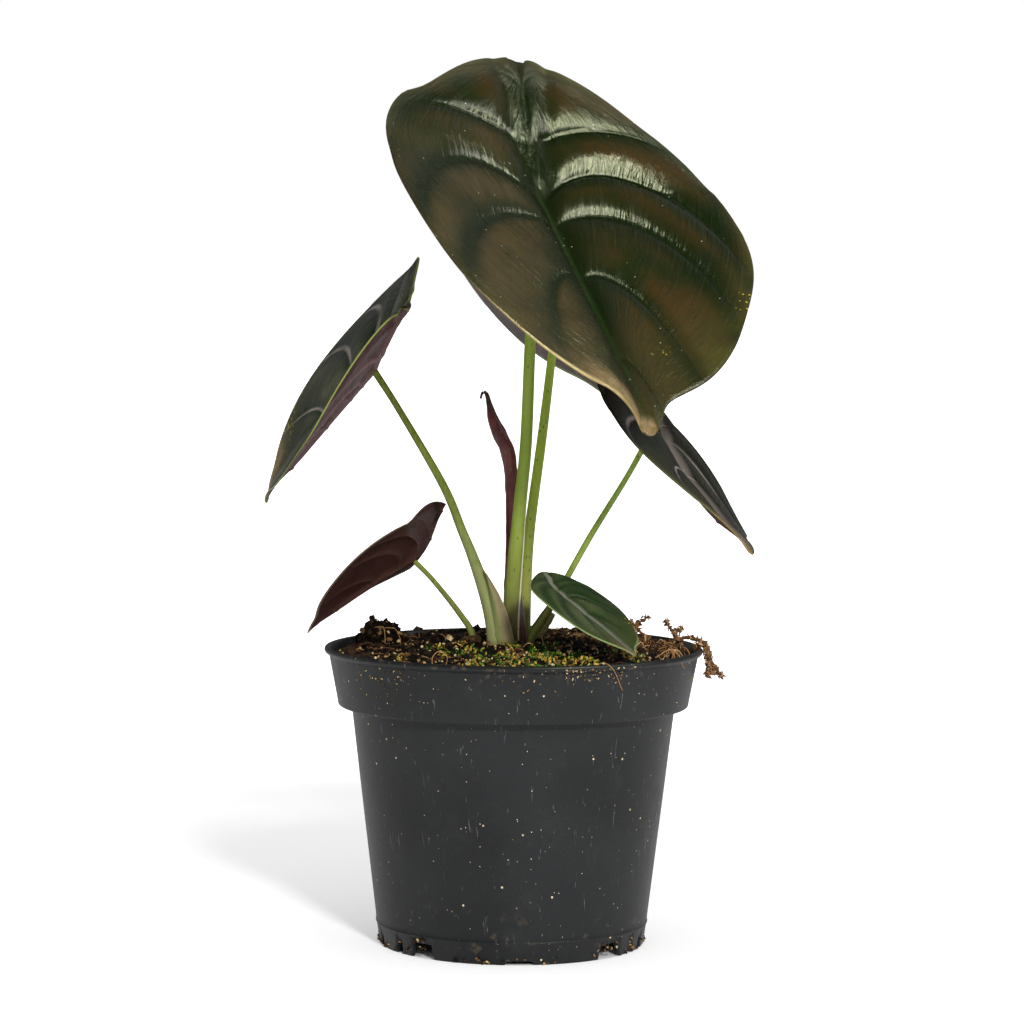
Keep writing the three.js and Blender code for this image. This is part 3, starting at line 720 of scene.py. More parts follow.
# Each leaf: its joint, size, width, length of the part behind the joint, beak, skew and ripple of
# its outline, how it hangs (heading, droop, roll), how each half slopes and curls, and how the
# midrib lifts behind the joint, falls towards the tip, hooks and twists
LEAF_VALUES = ("at", "size", "width", "lobe", "beak", "skew", "ripple", "heading", "droop", "roll",
               "right", "left", "lift", "fall", "hook", "twist")
LEAVES = {
    "front": ((7.4, -15, 236.4), 1, 1, 1, 13, 4, 0.035, 22, 38, -21,
              (25.4, -4), (-7.2, 10.7), 18, 0, 23, 1.4),
    "rear": ((14.8, 42, 223.3), 0.87, 1.14, 1, 6, 0, 0.02, 167, 41, 3.7,
             (12.7, 31.6), (10.9, -2.5), 18, -14, 9, 3.9),
    "left": ((-46, 0, 182), 0.73, 1.05, 1, 9, 0, 0.015, -145, 33, -46.4,
             (12, -9.4), (21.6, -28.6), 10, 1, 25, 7.6),
    "right": ((45.6, 5, 165.8), 0.7, 1.03, 0.5, 10, 0, 0.03, 16, 35, -34.3,
              (-8.4, -9.2), (9.6, -10.4), -13, -20, 19, -2.7),
    "low_left": ((-32.3, 8, 121), 0.38, 1.09, 1, 4, 0, 0.02, -77, 27, 21,
                 (23, -16), (9, -4), 42, 12, 21, 6.5),
    "small": ((13.6, -22, 113.7), 0.32, 0.92, 0.44, 2, 0, 0.03, 58, 33, -5.5,
              (13.4, -10.8), (9.7, -18), 25, -1, 18, -5.5),
}
LEAVES = {name: dict(zip(LEAF_VALUES, values)) for name, values in LEAVES.items()}
front_outline = np.transpose([OUTLINE_AT, OUTLINE_RIGHT, OUTLINE_LEFT])
LEAVES["front"]["outline"] = smooth_path(front_outline, OUTLINE_STEPS)
LEAVES["left"]["outline"] = smooth_path(
    [(0, -19, -19), (0.05, -12, -11), (0.12, 0, 0), (0.2, 0, 0), (0.3, -9, 0), (0.4, -20, 0),
     (0.5, -20, 0), (0.6, -14, 0), (0.7, -7, 0), (0.85, 0, 0), (1, 0, 0)], OUTLINE_STEPS)
LEAVES["right"]["outline"] = smooth_path(
    [(0, 0, -25), (0.07, 0, -36), (0.2, 0, -42), (0.3, -8, -30), (0.4, -20, -8), (0.5, -20, 0),
     (0.6, -14, 0), (0.7, -5, 0), (0.85, 0, 0), (1, 0, 0)], OUTLINE_STEPS)
# Half the width of the front leaf's blunt tip, and how much deeper the left leaf's base is cut
LEAVES["front"]["nib"] = 3.2
LEAVES["left"]["notch"] = 14
print("leaves:", list(LEAVES))

# %% [markdown]
# ## From the flat blade to the hanging one
#
# Three steps, each a formula on whole arrays. First the flat place of a point, from its share
# *along* the margin (which row) and *across* from midrib to margin. Real leaves aren't quite
# alike, so three of them add a wave of their own to the shared outline, and one a deeper notch.
# Then the relief over it: a cushion between each two veins, rounded at its crest and falling to
# both, a channel along the midrib, and a ridge between two grooves where the lobes have grown
# together behind the joint. Last the bending: each half slopes and curls away from the midrib,
# the midrib itself follows its own course, and the whole is turned to where the leaf hangs.


# %% The flat blade
def margin(along):
    """Half outline: a sine stood on its side and eased, so that it is widest before the middle."""
    eased = 1 - (1 - along) ** (2.25 - 4.5 * (along - 0.55) ** 2)
    sine = np.sin(np.pi * eased)
    ahead = eased > 0.5
    x = HALF_WIDTH * np.maximum(sine, 0) ** np.where(ahead, 1.2, 1.35)
    return x, MIDDLE - np.where(ahead, TOWARDS_TIP, TOWARDS_BASE) * np.cos(np.pi * eased), ahead


def flat_blade(along, across, side, leaf):
    """Rows leave the midrib evenly, sag back towards the base and run forward to the margin."""
    size = leaf["size"]
    edge_x, edge_y, ahead = margin(along)
    edge_x = np.hypot(edge_x, leaf.get("nib", 0.5) * np.sqrt(np.clip((1 - along) / 0.003, 0, 1)))
    edge_y = edge_y + ahead * leaf["beak"] / size * bell(edge_x, BEAK_WIDTH)
    tip = MIDDLE + TOWARDS_TIP + leaf["beak"] / size
    base = BLADE_BASE - leaf.get("notch", 0)
    start = -base + (tip + base) * along
    spread = np.where(along < JOINT_AT, 0.085, np.where(side < 0, 0.075, 0.045))
    sag = 8 * (1 - along) + 12 * bell(along - JOINT_AT, spread)
    sag = sag * np.minimum(1, along / 0.12)
    wave = leaf["ripple"] * side * np.sin(24.2 * along + 3) * np.sin(np.pi * along) * across**4
    x = side * edge_x * np.sin(np.pi * across / 2) * (1 + wave)
    y = start + (edge_y - start) * across**1.6 - sag * 6.75 * across * (1 - across) ** 2
    y = y - (side < 0) * leaf["skew"] * np.sin(np.pi * across) * np.sin(np.pi * along)
    if "outline" in leaf:
        at, right, left = leaf["outline"].T
        own = np.where(side < 0, np.interp(along, at, right), np.interp(along, at, left))
        own = own / 100 * across**3
        x, y = x * (1 + own), MIDDLE + (y - MIDDLE) * (1 + own)
    return x * size * leaf["width"], y * size * np.where(y < 0, leaf["lobe"], 1)


def vein_gap(along):
    """Distance to the nearest side vein, in shares of the midrib."""
    return np.abs(along[..., None] - VEINS[1:-1]).min(-1)


def cushion_at(along):
    """The number of the cushion that a place lies on, and how far it is from vein to vein."""
    k = np.clip(np.searchsorted(VEINS, along, side="right") - 1, 0, len(VEINS) - 2)
    return k, np.clip((along - VEINS[k]) / (VEINS[k + 1] - VEINS[k]), 0, 1)


def quilting(along, across, x, y, leaf):
    """Relief over the sheet: a cushion between each two veins, rounded at its crest and falling to
    both, a channel along the midrib and, behind the joint, a ridge between two grooves."""
    size = leaf["size"]
    k, phase = cushion_at(along)
    phase = phase ** CRESTS[k]
    from_crest = np.hypot(2 * phase - 1, CREST_ROUND) ** STEEPNESS - CREST_ROUND**STEEPNESS
    fall = np.hypot(1, CREST_ROUND) ** STEEPNESS - CREST_ROUND**STEEPNESS
    cushion = BULGES[k] * (1 - from_crest / fall)
    shoulder = np.sin(np.pi / 2 * np.clip(across / np.where(x > 0, 0.38, 0.14), 0, 1))
    start = 0.34 * REACHES[k] - 0.1
    flat = np.clip((across - start) / (REACHES[k] - start), 0, 1)
    cushion = cushion * shoulder * (1 - flat**2 * (3 - 2 * flat))
    gap = vein_gap(along) * (BLADE_TIP + BLADE_BASE)
    crease = 0.3 * bell(gap, 0.4) - 0.5 * bell(gap, VEIN_WIDTH)
    crease = crease * np.minimum(1, across / 0.1) * np.clip((0.93 - along) / 0.12, 0, 1)
    u, v = np.abs(x) / size, y / size
    behind = np.clip(-v / 8, 0, 1)
    off_crest = x / size + 1.4 * behind
    channel = -CHANNEL_DEPTH * bell(u, 3) * (1 - behind)
    groove = -GROOVE_DEPTH * bell(np.abs(off_crest) - 3.6 - 0.1 * np.abs(v), 2.4) * behind
    ridge = bell(off_crest, 2.8 + 0.04 * np.abs(v)) * behind * (0.6 + 0.03 * np.abs(v))
    ends = np.minimum(1, np.minimum(along / 0.07, (1 - along) / 0.25))
    crease = crease * (1 - across**4)
    return (cushion + crease + channel + groove + ridge) * size * ends


# %% The hanging blade
def midrib_course(y, leaf):
    """Place and pitch of the midrib at a flat y: its angle is added up along its length."""
    size = leaf["size"]
    tip, base = BLADE_TIP * size, BLADE_BASE * size
    s = np.linspace(-1.4 * base, 1.25 * tip, 1200)
    lift = -np.radians(leaf["lift"]) * (1 - np.exp(np.minimum(s, 0) / (0.2 * base)))
    fall = -np.radians(leaf["fall"]) * np.maximum(s, 0) / tip
    last = np.clip((s - 0.8 * tip) / (0.2 * tip), 0, 1.5)
    angle = lift + fall - np.radians(leaf["hook"]) * last**2
    step = s[1] - s[0]
    run, rise = np.cumsum(np.cos(angle)) * step, np.cumsum(np.sin(angle)) * step
    run, rise = run - np.interp(0, s, run), rise - np.interp(0, s, rise)
    return np.interp(y, s, run), np.interp(y, s, rise), np.interp(y, s, angle)


def blade_axes(leaf):
    """Across, along to the tip, and out of the upper side, from heading, droop and roll."""
    a, d, o = np.radians([leaf["heading"], leaf["droop"], leaf["roll"]])
    along = np.array([np.sin(a) * np.cos(d), -np.cos(a) * np.cos(d), -np.sin(d)])
    up = np.array([np.sin(a) * np.sin(d), -np.cos(a) * np.sin(d), np.cos(d)])
    across = np.cross(along, up)
    return np.cos(o) * across - np.sin(o) * up, along, np.cos(o) * up + np.sin(o) * across


def hang(x, y, height, leaf):
    """Bend each half away from the midrib on an arc, follow the midrib's course, then hang it."""
    size = leaf["size"]
    slope, curl = (np.radians(np.where(x > 0, *pair)) for pair in zip(leaf["left"], leaf["right"]))
    bend = curl / (HALF_WIDTH * size * leaf["width"]) + 1e-6
    soft = 2.5 * size
    reach = np.hypot(x, soft) - soft
    angle = (slope + bend * reach) * np.minimum(1, np.abs(x) / soft)
    sideways = (np.sin(slope + bend * np.abs(x)) - np.sin(slope)) / bend - np.sin(angle) * height
    sideways = sideways * np.sign(x)
    lifted = (np.cos(slope) - np.cos(slope + bend * reach)) / bend + np.cos(angle) * height
    twist = np.radians(leaf["twist"]) * y / (BLADE_TIP * size)
    turned_x = sideways * np.cos(twist) - lifted * np.sin(twist)
    turned_z = sideways * np.sin(twist) + lifted * np.cos(twist)
    run, rise, pitch = midrib_course(y, leaf)
    place = (turned_x, run - np.sin(pitch) * turned_z, rise + np.cos(pitch) * turned_z)
    moved = sum(part[..., None] * axis for part, axis in zip(place, blade_axes(leaf)))
    return np.array(leaf["at"]) + moved


def thickness(x, y, leaf):
    """Thin at the margin and the tip, thick along the midrib, where the keel stands out below."""
    size = leaf["size"]
    left = np.clip((BLADE_TIP - y / size) / 30, 0.15, 1)
    return EDGE_THICKNESS + KEEL * size * left * bell(x, KEEL_WIDTH * size)


def blade_parts(leaf, per_vein, columns):
    """Both skins of a blade, with the values its finish reads and a chart of it in decimetres."""
    size = leaf["size"]
    ease = 0.5 - 0.5 * np.cos(np.pi * np.arange(per_vein) / per_vein)
    rows = (VEINS[:-1, None] + np.diff(VEINS)[:, None] * ease).ravel()
    rows = np.concatenate([[0.0015, 0.005, 0.009], rows, VEINS[-1:], [0.9965, 0.9985]])
    q = np.linspace(0, 1, columns) ** 1.15
    signed = np.concatenate([-q[:0:-1], q])
    along, signed = np.meshgrid(rows, signed, indexing="ij")
    across, side = np.abs(signed), np.where(signed < 0, -1, 1)
    x, y = flat_blade(along, across, side, leaf)
    top = quilting(along, across, x, y, leaf)
    veins = vein_gap(along) * (BLADE_TIP + BLADE_BASE)
    ribs = RIB_HEIGHT * bell(veins, VEIN_WIDTH) * (1 - across**3) * size ** 0.5
    under = top - thickness(x, y, leaf) - ribs
    skins = [hang(x, y, h, leaf) for h in (top, under)]
    points = np.concatenate([skin.reshape(-1, 3) for skin in skins])
    # Painted shade of each cushion's relief: on the left half darker towards the vein nearer the
    # tip, on the right half towards the vein nearer the base
    _, phase = cushion_at(along)
    shaded = np.where(signed > 0, np.clip((phase - 0.35) / 0.55, 0, 1),
                      np.clip(1 - phase / 0.6, 0, 1))
    values = {
        "vein": veins,
        "rib": np.abs(x) / size,
        "edge": (1 - across) * (np.abs(margin(along)[0]) + 6),
        "back": np.clip(-y / size / 10, 0, 1),
        "along": along,
        "lit_rim": np.clip((along - 0.4) / 0.15, 0, 1) * (side > 0),
        # Where the large leaf's left half is painted paler and more olive: a painted sheen
        "olive_sheen": np.clip((along - 0.2) / 0.15, 0, 1) * np.clip(signed / 0.12, 0, 1),
        "shaded": shaded**1.3 * np.clip((0.9 - along) / 0.1, 0, 1),
    }
    marks = {key: np.tile(value.ravel(), 2) for key, value in values.items()}
    marks["under"] = np.repeat([0.0, 1.0], x.size)
    chart = np.stack([across * side * HALF_WIDTH, along * (BLADE_TIP + BLADE_BASE)], -1)
    chart = np.tile(chart.reshape(-1, 2) / 100, (2, 1))
    return [(points, two_skins(*x.shape), marks)], chart


# %% [markdown]
# ## The blades' finish
#
# The upper side is lacquered: dark green along every vein, copper to olive on the cushions, finely
# wrinkled across the veins so that a glint breaks into streaks. The large leaf's left half is
# painted paler and more olive than its right, a painted sheen that stands in for the broad
# yellowish sheen on that half. Each cushion is painted darker towards one of its veins, the one
# nearer the tip on the left and nearer the base on the right: painted shade of its relief. Towards
# the margin the upper side is painted paler, partly its own colour and partly painted sheen, and
# the margin has a dry pale hem. The under side is dull purple with paler veins. What changes from
# leaf to leaf is the colours, so one function builds the graph and each leaf hands in its own
# palette. Where a mask depends on the plant, such as the distance to a vein, the mesh carries it as
# a value at each point.


# %% Blade finish
def upper_side(paint, chart, cushion, patch, vein, pale_veins, pale, silver, olive_sheen, pale_margin_sheen):
    """Colour of the upper side, laid on in the order in which the masks cover each other, with its
    painted shade and painted sheen, and the wrinkles. Distances from veins, midrib and margin are
    in millimetres of the large blade."""
    top = paint.use(PATCHES, Scale=38.0, First=cushion, Second=patch)
    # Paler towards the margin: partly the margin's own colour, partly painted sheen
    outer_band = paint.times(paint.near("edge", 3.0, 16.0, 0.6), pale_margin_sheen)
    top = paint.mix(outer_band, top, shade(76, 64, 32))
    # Painted shade: each cushion darker towards one of its veins
    shadow = paint.times("shaded", 0.75 * olive_sheen)
    # Painted sheen: the large leaf's left half paler and more olive, for the broad yellowish sheen
    # on it
    olive_sheen = paint.times("olive_sheen", olive_sheen)
    olive_sheen_tone = paint.use(PATCHES, Scale=52.0, First=shade(76, 64, 36), Second=shade(54, 47, 22))
    top = paint.mix(olive_sheen, top, olive_sheen_tone)
    top = paint.mix(shadow, top, shade(28, 36, 10))

    wrinkle = paint.use(RIBS, Vector=chart, Stretch=(58.0, 9.0, 1.0), Warp=0.6)
    top = paint.mix(paint.fade(wrinkle, 0.35, 0.7, 0.0, 0.35), top, vein)
    narrower = paint.plus(paint.times(olive_sheen, 3.5), 1.0)
    near_vein = paint.maths("POWER", paint.near("vein", 0.4, 8.5), narrower)
    near_midrib = paint.maths("POWER", paint.near("rib", 1.0, 14.0), 0.75)
    green = paint.times(paint.most(near_vein, near_midrib),
                        paint.fade("along", 0.86, 0.96, 0.95, 0.25))
    top = paint.mix(paint.times(green, paint.fade("edge", 4.0, 16.0, 0.5, 1.0)), top, vein)
    midrib = paint.times(paint.near("rib", 0.3, 1.4, 0.5), paint.near("back", 0.0, 0.5))
    top = paint.mix(midrib, top, shade(34, 56, 16))

    line = paint.times(paint.near("vein", 0.2, 1.3), pale_veins)
    line = paint.times(line, paint.fade(paint.noise(70.0), 0.4, 0.58, 0.35, 1.0))
    sheen = paint.times(paint.near("rib", 1.0, 6.0), silver)
    top = paint.mix(paint.most(line, sheen), top, shade(*pale))
    border = paint.times(paint.near("edge", 0.3, 9.0),
                         paint.fade(paint.noise(45.0), 0.4, 0.62, 0.0, 0.4))
    top = paint.mix(border, top, shade(76, 76, 26))
    fleck = paint.times(paint.use(SPECKS, Scale=900.0, Size=0.3, Share=0.3),
                        paint.near("edge", 2.0, 8.0))
    fleck = paint.times(fleck, paint.fade(paint.noise(60.0), 0.6, 0.66))
    return paint.mix(fleck, top, shade(190, 175, 40)), wrinkle


def under_side(paint, below, below_vein):
    """Dull purple, paler on the veins and the keel."""
    low = paint.use(PATCHES, Scale=120.0, First=below, Second=below_vein, Low=0.4, High=0.9)
    nerve = paint.most(paint.near("vein", 0.4, 2.2, 0.8), paint.near("rib", 1.0, 4.0, 0.8))
    return paint.mix(nerve, low, below_vein)


def blade_finish(name, cushion, patch, vein, margin_tone, below, below_vein, pale_veins=0.0,
                 pale=(150, 140, 130), gloss=0.2, silver=0.0, shine=0.5, one_rim=0.0, olive_sheen=0.0,
                 pale_margin_sheen=0.3):
    """Both sides of a blade, its pale rim and dry hem, a little dust, and the lacquer over it."""
    material, paint = new_material(name)
    chart = paint.add("UVMap", uv_map="chart").outputs[0]
    top, wrinkle = upper_side(paint, chart, cushion, patch, vein, pale_veins, pale, silver, olive_sheen,
                              pale_margin_sheen)
    colour = paint.mix("under", top, under_side(paint, below, below_vein))
    rim = paint.times(paint.near("edge", 0.2, 0.9, 0.9), paint.most("lit_rim", 1.0 - one_rim))
    colour = paint.mix(rim, colour, margin_tone)
    dry = paint.use(PATCHES, Scale=240.0, First=shade(120, 100, 54), Second=shade(160, 132, 96))
    hem = paint.times(paint.near("edge", 0.8, 4.5, 0.75), paint.fade("along", 0.5, 0.8))
    hem = paint.most(paint.times(hem, "lit_rim"), paint.fade("along", 0.95, 0.985, 0.0, 0.85))
    colour = paint.mix(hem, colour, dry)
    dust = paint.use(SPECKS, Scale=420.0, Size=0.09, Share=0.12)
    colour = paint.mix(paint.times(dust, 0.6), colour, shade(190, 195, 170))

    rough = paint.plus(paint.fade("under", 0.2, 0.8, gloss, 0.5),
                       paint.fade(wrinkle, 0.3, 0.7, -0.04, 0.08))
    rough = paint.plus(rough, paint.times(paint.near("edge", 8.0, 26.0, 0.3), "back"))
    fine = paint.use(RIBS, Vector=chart, Stretch=(150.0, 22.0, 1.0), Warp=0.4)
    paint.surface(colour, rough, paint.plus(wrinkle, paint.times(fine, 0.5)), 0.7, 0.0006,
                  Specular_IOR_Level=shine, Specular_Tint=(1.0, 0.97, 0.78, 1.0))
    return material


# For each leaf the tones of cushions, of patches on them, of veins, margin, under side and its
# veins, and what else sets its finish apart
PALETTES = {
    "front": ([(60, 44, 17), (25, 36, 8), (13, 28, 3), (168, 150, 96), (50, 26, 34),
               (104, 70, 68)], dict(shine=0.75, one_rim=1.0, olive_sheen=0.8, pale_margin_sheen=1.0)),
    "rear": ([(64, 48, 20), (46, 44, 16), (24, 38, 7), (110, 130, 50), (48, 26, 34),
              (80, 48, 54)], dict(shine=0.75)),
    "left": ([(36, 46, 24), (76, 76, 56), (20, 36, 14), (128, 140, 70), (64, 34, 38),
              (112, 84, 84)], dict(pale_veins=0.7, silver=0.4, gloss=0.38, shine=0.25)),
    "right": ([(38, 24, 10), (28, 42, 14), (16, 22, 6), (70, 76, 42), (50, 28, 34),
               (96, 66, 68)], dict(pale_veins=0.85, pale=(150, 136, 130), silver=0.5, gloss=0.38,
                                   shine=0.15)),
    "low_left": ([(38, 46, 30), (44, 44, 30), (24, 38, 16), (96, 84, 66), (60, 36, 32),
                  (70, 46, 42)], dict(gloss=0.4, shine=0.2)),
    "small": ([(42, 62, 24), (88, 98, 62), (30, 52, 20), (130, 150, 96), (74, 56, 50),
               (120, 100, 88)], dict(pale_veins=0.25, pale=(120, 122, 106), silver=0.9, gloss=0.4,
                                     shine=0.25)),
}
# Rows between two veins and columns from the midrib to each margin
GRIDS = {"front": (22, 56), "rear": (16, 40), "left": (16, 40), "right": (16, 40),
         "low_left": (12, 28), "small": (12, 28)}
for name, leaf in LEAVES.items():
    tones, looks = PALETTES[name]
    finish = blade_finish("blade_" + name + "_skin", *(shade(*tone) for tone in tones), **looks)
    parts, chart = blade_parts(leaf, *GRIDS[name])
    make_piece("leaf_" + name, parts, finish, "blade_" + name, chart)

# %% [markdown]
# ## Stalks
#
# A stalk is a fleshy rod that tapers from the soil to the leaf. It is round, finely ribbed along
# its length, pale and brownish where it leaves the soil and bright green above. The path is a
# smooth curve through a few stations, each with its own radius, and it ends inside the keel of its
# blade, so that the two grow together.

# %% The stalks' values
STEM_BOTTOM = 84.0
STALKS = {
    "front": [(-0.9, 2.5, STEM_BOTTOM, 3.4), (-0.9, 2.5, 95.5, 3.1), (-0.8, 1.8, 106, 2.75),
              (0.2, 1, 121.5, 2.4), (1.7, -0.8, 140, 2.05), (3.4, -3, 160, 1.9),
              (4.5, -8, 193, 1.75), (6.2, -12, 215, 1.7)],
    "rear": [(3, 11, STEM_BOTTOM, 2.4), (3, 11, 94.6, 2.4), (3.4, 11.8, 110, 2.1),
             (4.8, 13.5, 130, 1.7), (8.5, 19, 159, 1.55), (11, 26, 180, 1.4),
             (13.6, 34, 203.7, 1.35)],
    "left": [(-5.4, -5, STEM_BOTTOM, 3.2), (-5.6, -5, 96, 2.9), (-7.7, -5, 107, 2.4),
             (-12.5, -4, 121, 1.75), (-16.6, -3.5, 131, 1.45), (-22.7, -2.5, 145.3, 1.3),
             (-36.5, -1, 168.5, 1.05)],
    "right": [(5.2, 6, STEM_BOTTOM, 1.6), (5.2, 6, 95.2, 1.6), (8.7, 6, 101.9, 1.4),
              (13.4, 6, 109.3, 1.05), (24, 6, 128.6, 1), (35.9, 5, 148.5, 0.9)],
    "low_left": [(-12.6, 6, STEM_BOTTOM, 1.1), (-13, 6, 96.3, 1.1), (-17.2, 6.5, 103.6, 0.95),
                 (-25.9, 7.5, 114.3, 0.8)],
    "small": [(5.5, -2, STEM_BOTTOM, 1.2), (5.5, -2, 96, 1.2), (8.3, -5, 101.4, 1.1),
              (11.3, -12, 107, 0.9)],
}
TOP_RADIUS = {"front": 1.9, "rear": 1.5, "left": 1.1, "right": 1.0, "low_left": 0.85, "small": 0.8}
print("stalks:", len(STALKS))


# %% Stalk skins
def stalk_parts(name, sides=28, steps=14):
    """Round bar on the path, with shallow ribs, ending a little inside the blade's keel."""
    leaf = LEAVES[name]
    zero = np.zeros(1)
    sunk = quilting(zero + 1 / 3, zero, zero, zero, leaf)[0] - thickness(zero, zero, leaf)[0] + 0.7
    joint = np.array(leaf["at"]) + blade_axes(leaf)[2] * sunk
    course = smooth_path(STALKS[name] + [(*joint, TOP_RADIUS[name])], steps)
    middle, radius = course[:, :3], course[:, 3]
    around = even_angles(sides)
    ribbed = radius[:, None] * (1 + 0.012 * np.cos(7 * around) + 0.01 * np.cos(11 * around + 1))
    return *bars(middle[None], ribbed[None], sides), {}


# %% The stalks' finish
SOIL_STAIN = shade(72, 46, 30)
SOIL_LINE = 0.094


def stalk_finish(name, green, top, foot, freckles, stain=0.0975):
    """Foot to green to top along the stalk, fibres along it, a share of dark freckles, and a stain
    from the soil up to a height in metres."""
    green, top, foot = (shade(*tone) for tone in (green, top, foot))
    material, paint = new_material(name)
    height = paint.height()
    sap = paint.use(PATCHES, Scale=70.0, First=green, Second=top)
    uneven_foot = paint.use(PATCHES, Scale=160.0, First=foot, Second=green, Low=0.5, High=0.9)
    colour = paint.mix(paint.near(height, 0.1, 0.15), sap, uneven_foot)
    fibre = paint.use(RIBS, Stretch=(2600.0, 2600.0, 60.0), Warp=0.2)
    colour = paint.mix(paint.fade(fibre, 0.4, 0.75, 0.0, 0.35), colour, shade(150, 168, 82))
    long_place = paint.add("Mapping", {"Vector": paint.place, "Scale": (1.0, 1.0, 0.4)}).outputs[0]
    freckle = paint.use(SPECKS, Vector=long_place, Scale=1050.0, Size=0.24, Share=freckles)
    colour = paint.mix(paint.times(freckle, 0.75), colour, shade(66, 96, 30))
    colour = paint.mix(paint.near(height, SOIL_LINE, stain, 0.6), colour, SOIL_STAIN)
    paint.surface(colour, 0.42, fibre, 0.35, 0.0003, Specular_IOR_Level=0.3,
                  Subsurface_Weight=0.15, Subsurface_Radius=(0.002, 0.003, 0.001))
    return material


# Tones of the green part, of its top and of the foot, share of freckles, height of the stain
STALK_LOOKS = {
    "front": ((128, 152, 42), (140, 162, 56), (116, 116, 60), 0.03, 0.113),
    # The rear stalk is painted brighter than the front one: painted light that makes up for the
    # shade that the front leaf casts on it
    "rear": ((166, 194, 62), (168, 192, 72), (142, 140, 74), 0.5),
    "left": ((84, 96, 26), (98, 110, 36), (136, 138, 92), 0.05),
    "right": ((146, 176, 68), (152, 182, 78), (108, 112, 54), 0.1),
    "thin": ((104, 128, 44), (118, 138, 52), (108, 112, 54), 0.1),
}
STALK_FINISHES = {name: stalk_finish("stalk_" + name + "_skin", *look)
                  for name, look in STALK_LOOKS.items()}
for name in STALKS:
    finish = STALK_FINISHES.get(name, STALK_FINISHES["thin"])
    make_piece("stem_" + name, [stalk_parts(name)], finish, "stalk_" + name)

# %% [markdown]
# ## Dry sheaths at the foot
#
# Each stalk of an alocasia widens at its foot into a sheath that clasps the next one. The left
# stalk's sheath laps over the front stalk and has dried to pinkish paper at its margin. A sheet
# between two curves makes it: one curve on the stalk, the other the free margin, bowed outwards in
# between. The torn stump on the right is the sheath of the right stalk.

# %% Sheath shapes
LEFT_SHEATH = (
    [(-9.6, -5.5, 119), (-8.2, -6.4, 110), (-7.0, -7.2, 102), (-6.2, -7.4, 92)],
    [(-8.6, -6.4, 117.6), (-4.4, -6.4, 110.6), (-1.2, -4.6, 102.2), (1.0, -3, 92)],
)
REAR_SHEATH = (
    [(1.9, 0.6, 113), (1.5, 0.2, 105), (1.2, 0, 98), (1.2, 0, 92)],
    [(2.3, 5.6, 111.5), (3.3, 5, 104), (4.1, 4, 98), (4.3, 4, 92)],
)
FRONT_EDGE = [(3.5, -2, 137, 0.12), (2.6, -0.9, 122, 0.22), (2.0, 0.2, 112, 0.3),
              (1.5, 0.3, 104, 0.3), (1.4, 0.2, 92, 0.3)]
STUMP = [(5.6, 6, 88, 2.1), (6.3, 6, 95.6, 2.25), (8.8, 6, 99.8, 2.15), (10.9, 6, 103.4, 2.1),
         (11.5, 6, 104.6, 1.9)]


def sheath_parts(inner, outer, bow, thick=0.25, rows=40, columns=14):
    """Sheet from the inner curve to the outer: straight across plus a bow towards the viewer."""
    a, b = (smooth_path(side, rows // 3) for side in (inner, outer))
    s = np.linspace(0, 1, columns)[:, None]
    sheet = a[:, None] + (b - a)[:, None] * s
    sheet[..., 1] -= bow * np.sin(np.pi * s[:, 0])
    crinkle = uneven(sheet[..., 0] * 3, sheet[..., 2] * 0.6, 2.5, 8) * s[:, 0]
    sheet[..., 1] += 0.18 * crinkle
    back = sheet + [0, thick, 0]
    points = np.concatenate([sheet.reshape(-1, 3), back.reshape(-1, 3)])
    across = np.tile(np.broadcast_to(s[:, 0], sheet.shape[:2]).ravel(), 2)
    return points, two_skins(*sheet.shape[:2]), {"free": across}


def single_bar(stations, sides, steps=8, rough=0.0, seed=1, **marks):
    """One round bar through stations of x, y, z and radius, with an uneven skin if asked."""
    course = smooth_path(stations, steps)
    lumpy = 1 + rough * np.random.default_rng(seed).uniform(-1, 1, (len(course), sides))
    return *bars(course[None, :, :3], (course[:, 3:] * lumpy)[None], sides), marks


# %% Papery finish
def papery(name, fresh, dry, edge):
    """Fresh tissue that dries towards the free margin, with fibres along its length."""
    material, paint = new_material(name)
    fibre = paint.use(RIBS, Stretch=(2200.0, 1200.0, 90.0), Warp=0.8)
    share = paint.plus(paint.fade("free", 0.1, 0.75), paint.fade(fibre, 0.3, 0.7, -0.25, 0.25))
    colour = paint.mix(paint.fade(share, 0.0, 1.0), shade(*fresh), shade(*dry))
    colour = paint.mix(paint.fade("free", 0.93, 1.0), colour, shade(*edge))
    spots = paint.use(SPECKS, Scale=900.0, Size=0.35, Share=0.2)
    colour = paint.mix(paint.times(spots, 0.4), colour, shade(110, 84, 60))
    stain = paint.near(paint.height(), SOIL_LINE, 0.098, 0.65)
    paint.surface(paint.mix(stain, colour, SOIL_STAIN), 0.5, fibre, 0.6, 0.0005)
    return material


left_paper = papery("left_sheath_skin", (112, 122, 66), (142, 130, 94), (196, 168, 136))
rear_paper = papery("rear_sheath_skin", (84, 56, 44), (104, 66, 58), (206, 200, 170))
stump_skin = stalk_finish("stump_skin", (132, 142, 80), (142, 146, 92), (126, 118, 74), 0.4)

make_piece("sheath_left", [sheath_parts(*LEFT_SHEATH, bow=2.2)], left_paper, None)
make_piece("sheath_rear", [sheath_parts(*REAR_SHEATH, bow=0.3),
                           single_bar(FRONT_EDGE, 8, free=1.0)], rear_paper, None)
make_piece("stump", [single_bar(STUMP, 18, rough=0.06)], stump_skin, None)

# %% [markdown]
# ## The leaf that hasn't opened
#
# A new leaf comes up rolled like a cigar, purple-brown, with one free edge that winds up it. The
# roll is a bar whose cross-section grows by a fifth on its way round and then drops at the seam.
# Turning the section a little at each height makes the seam climb in a spiral. The tip has dried
# into a hook.

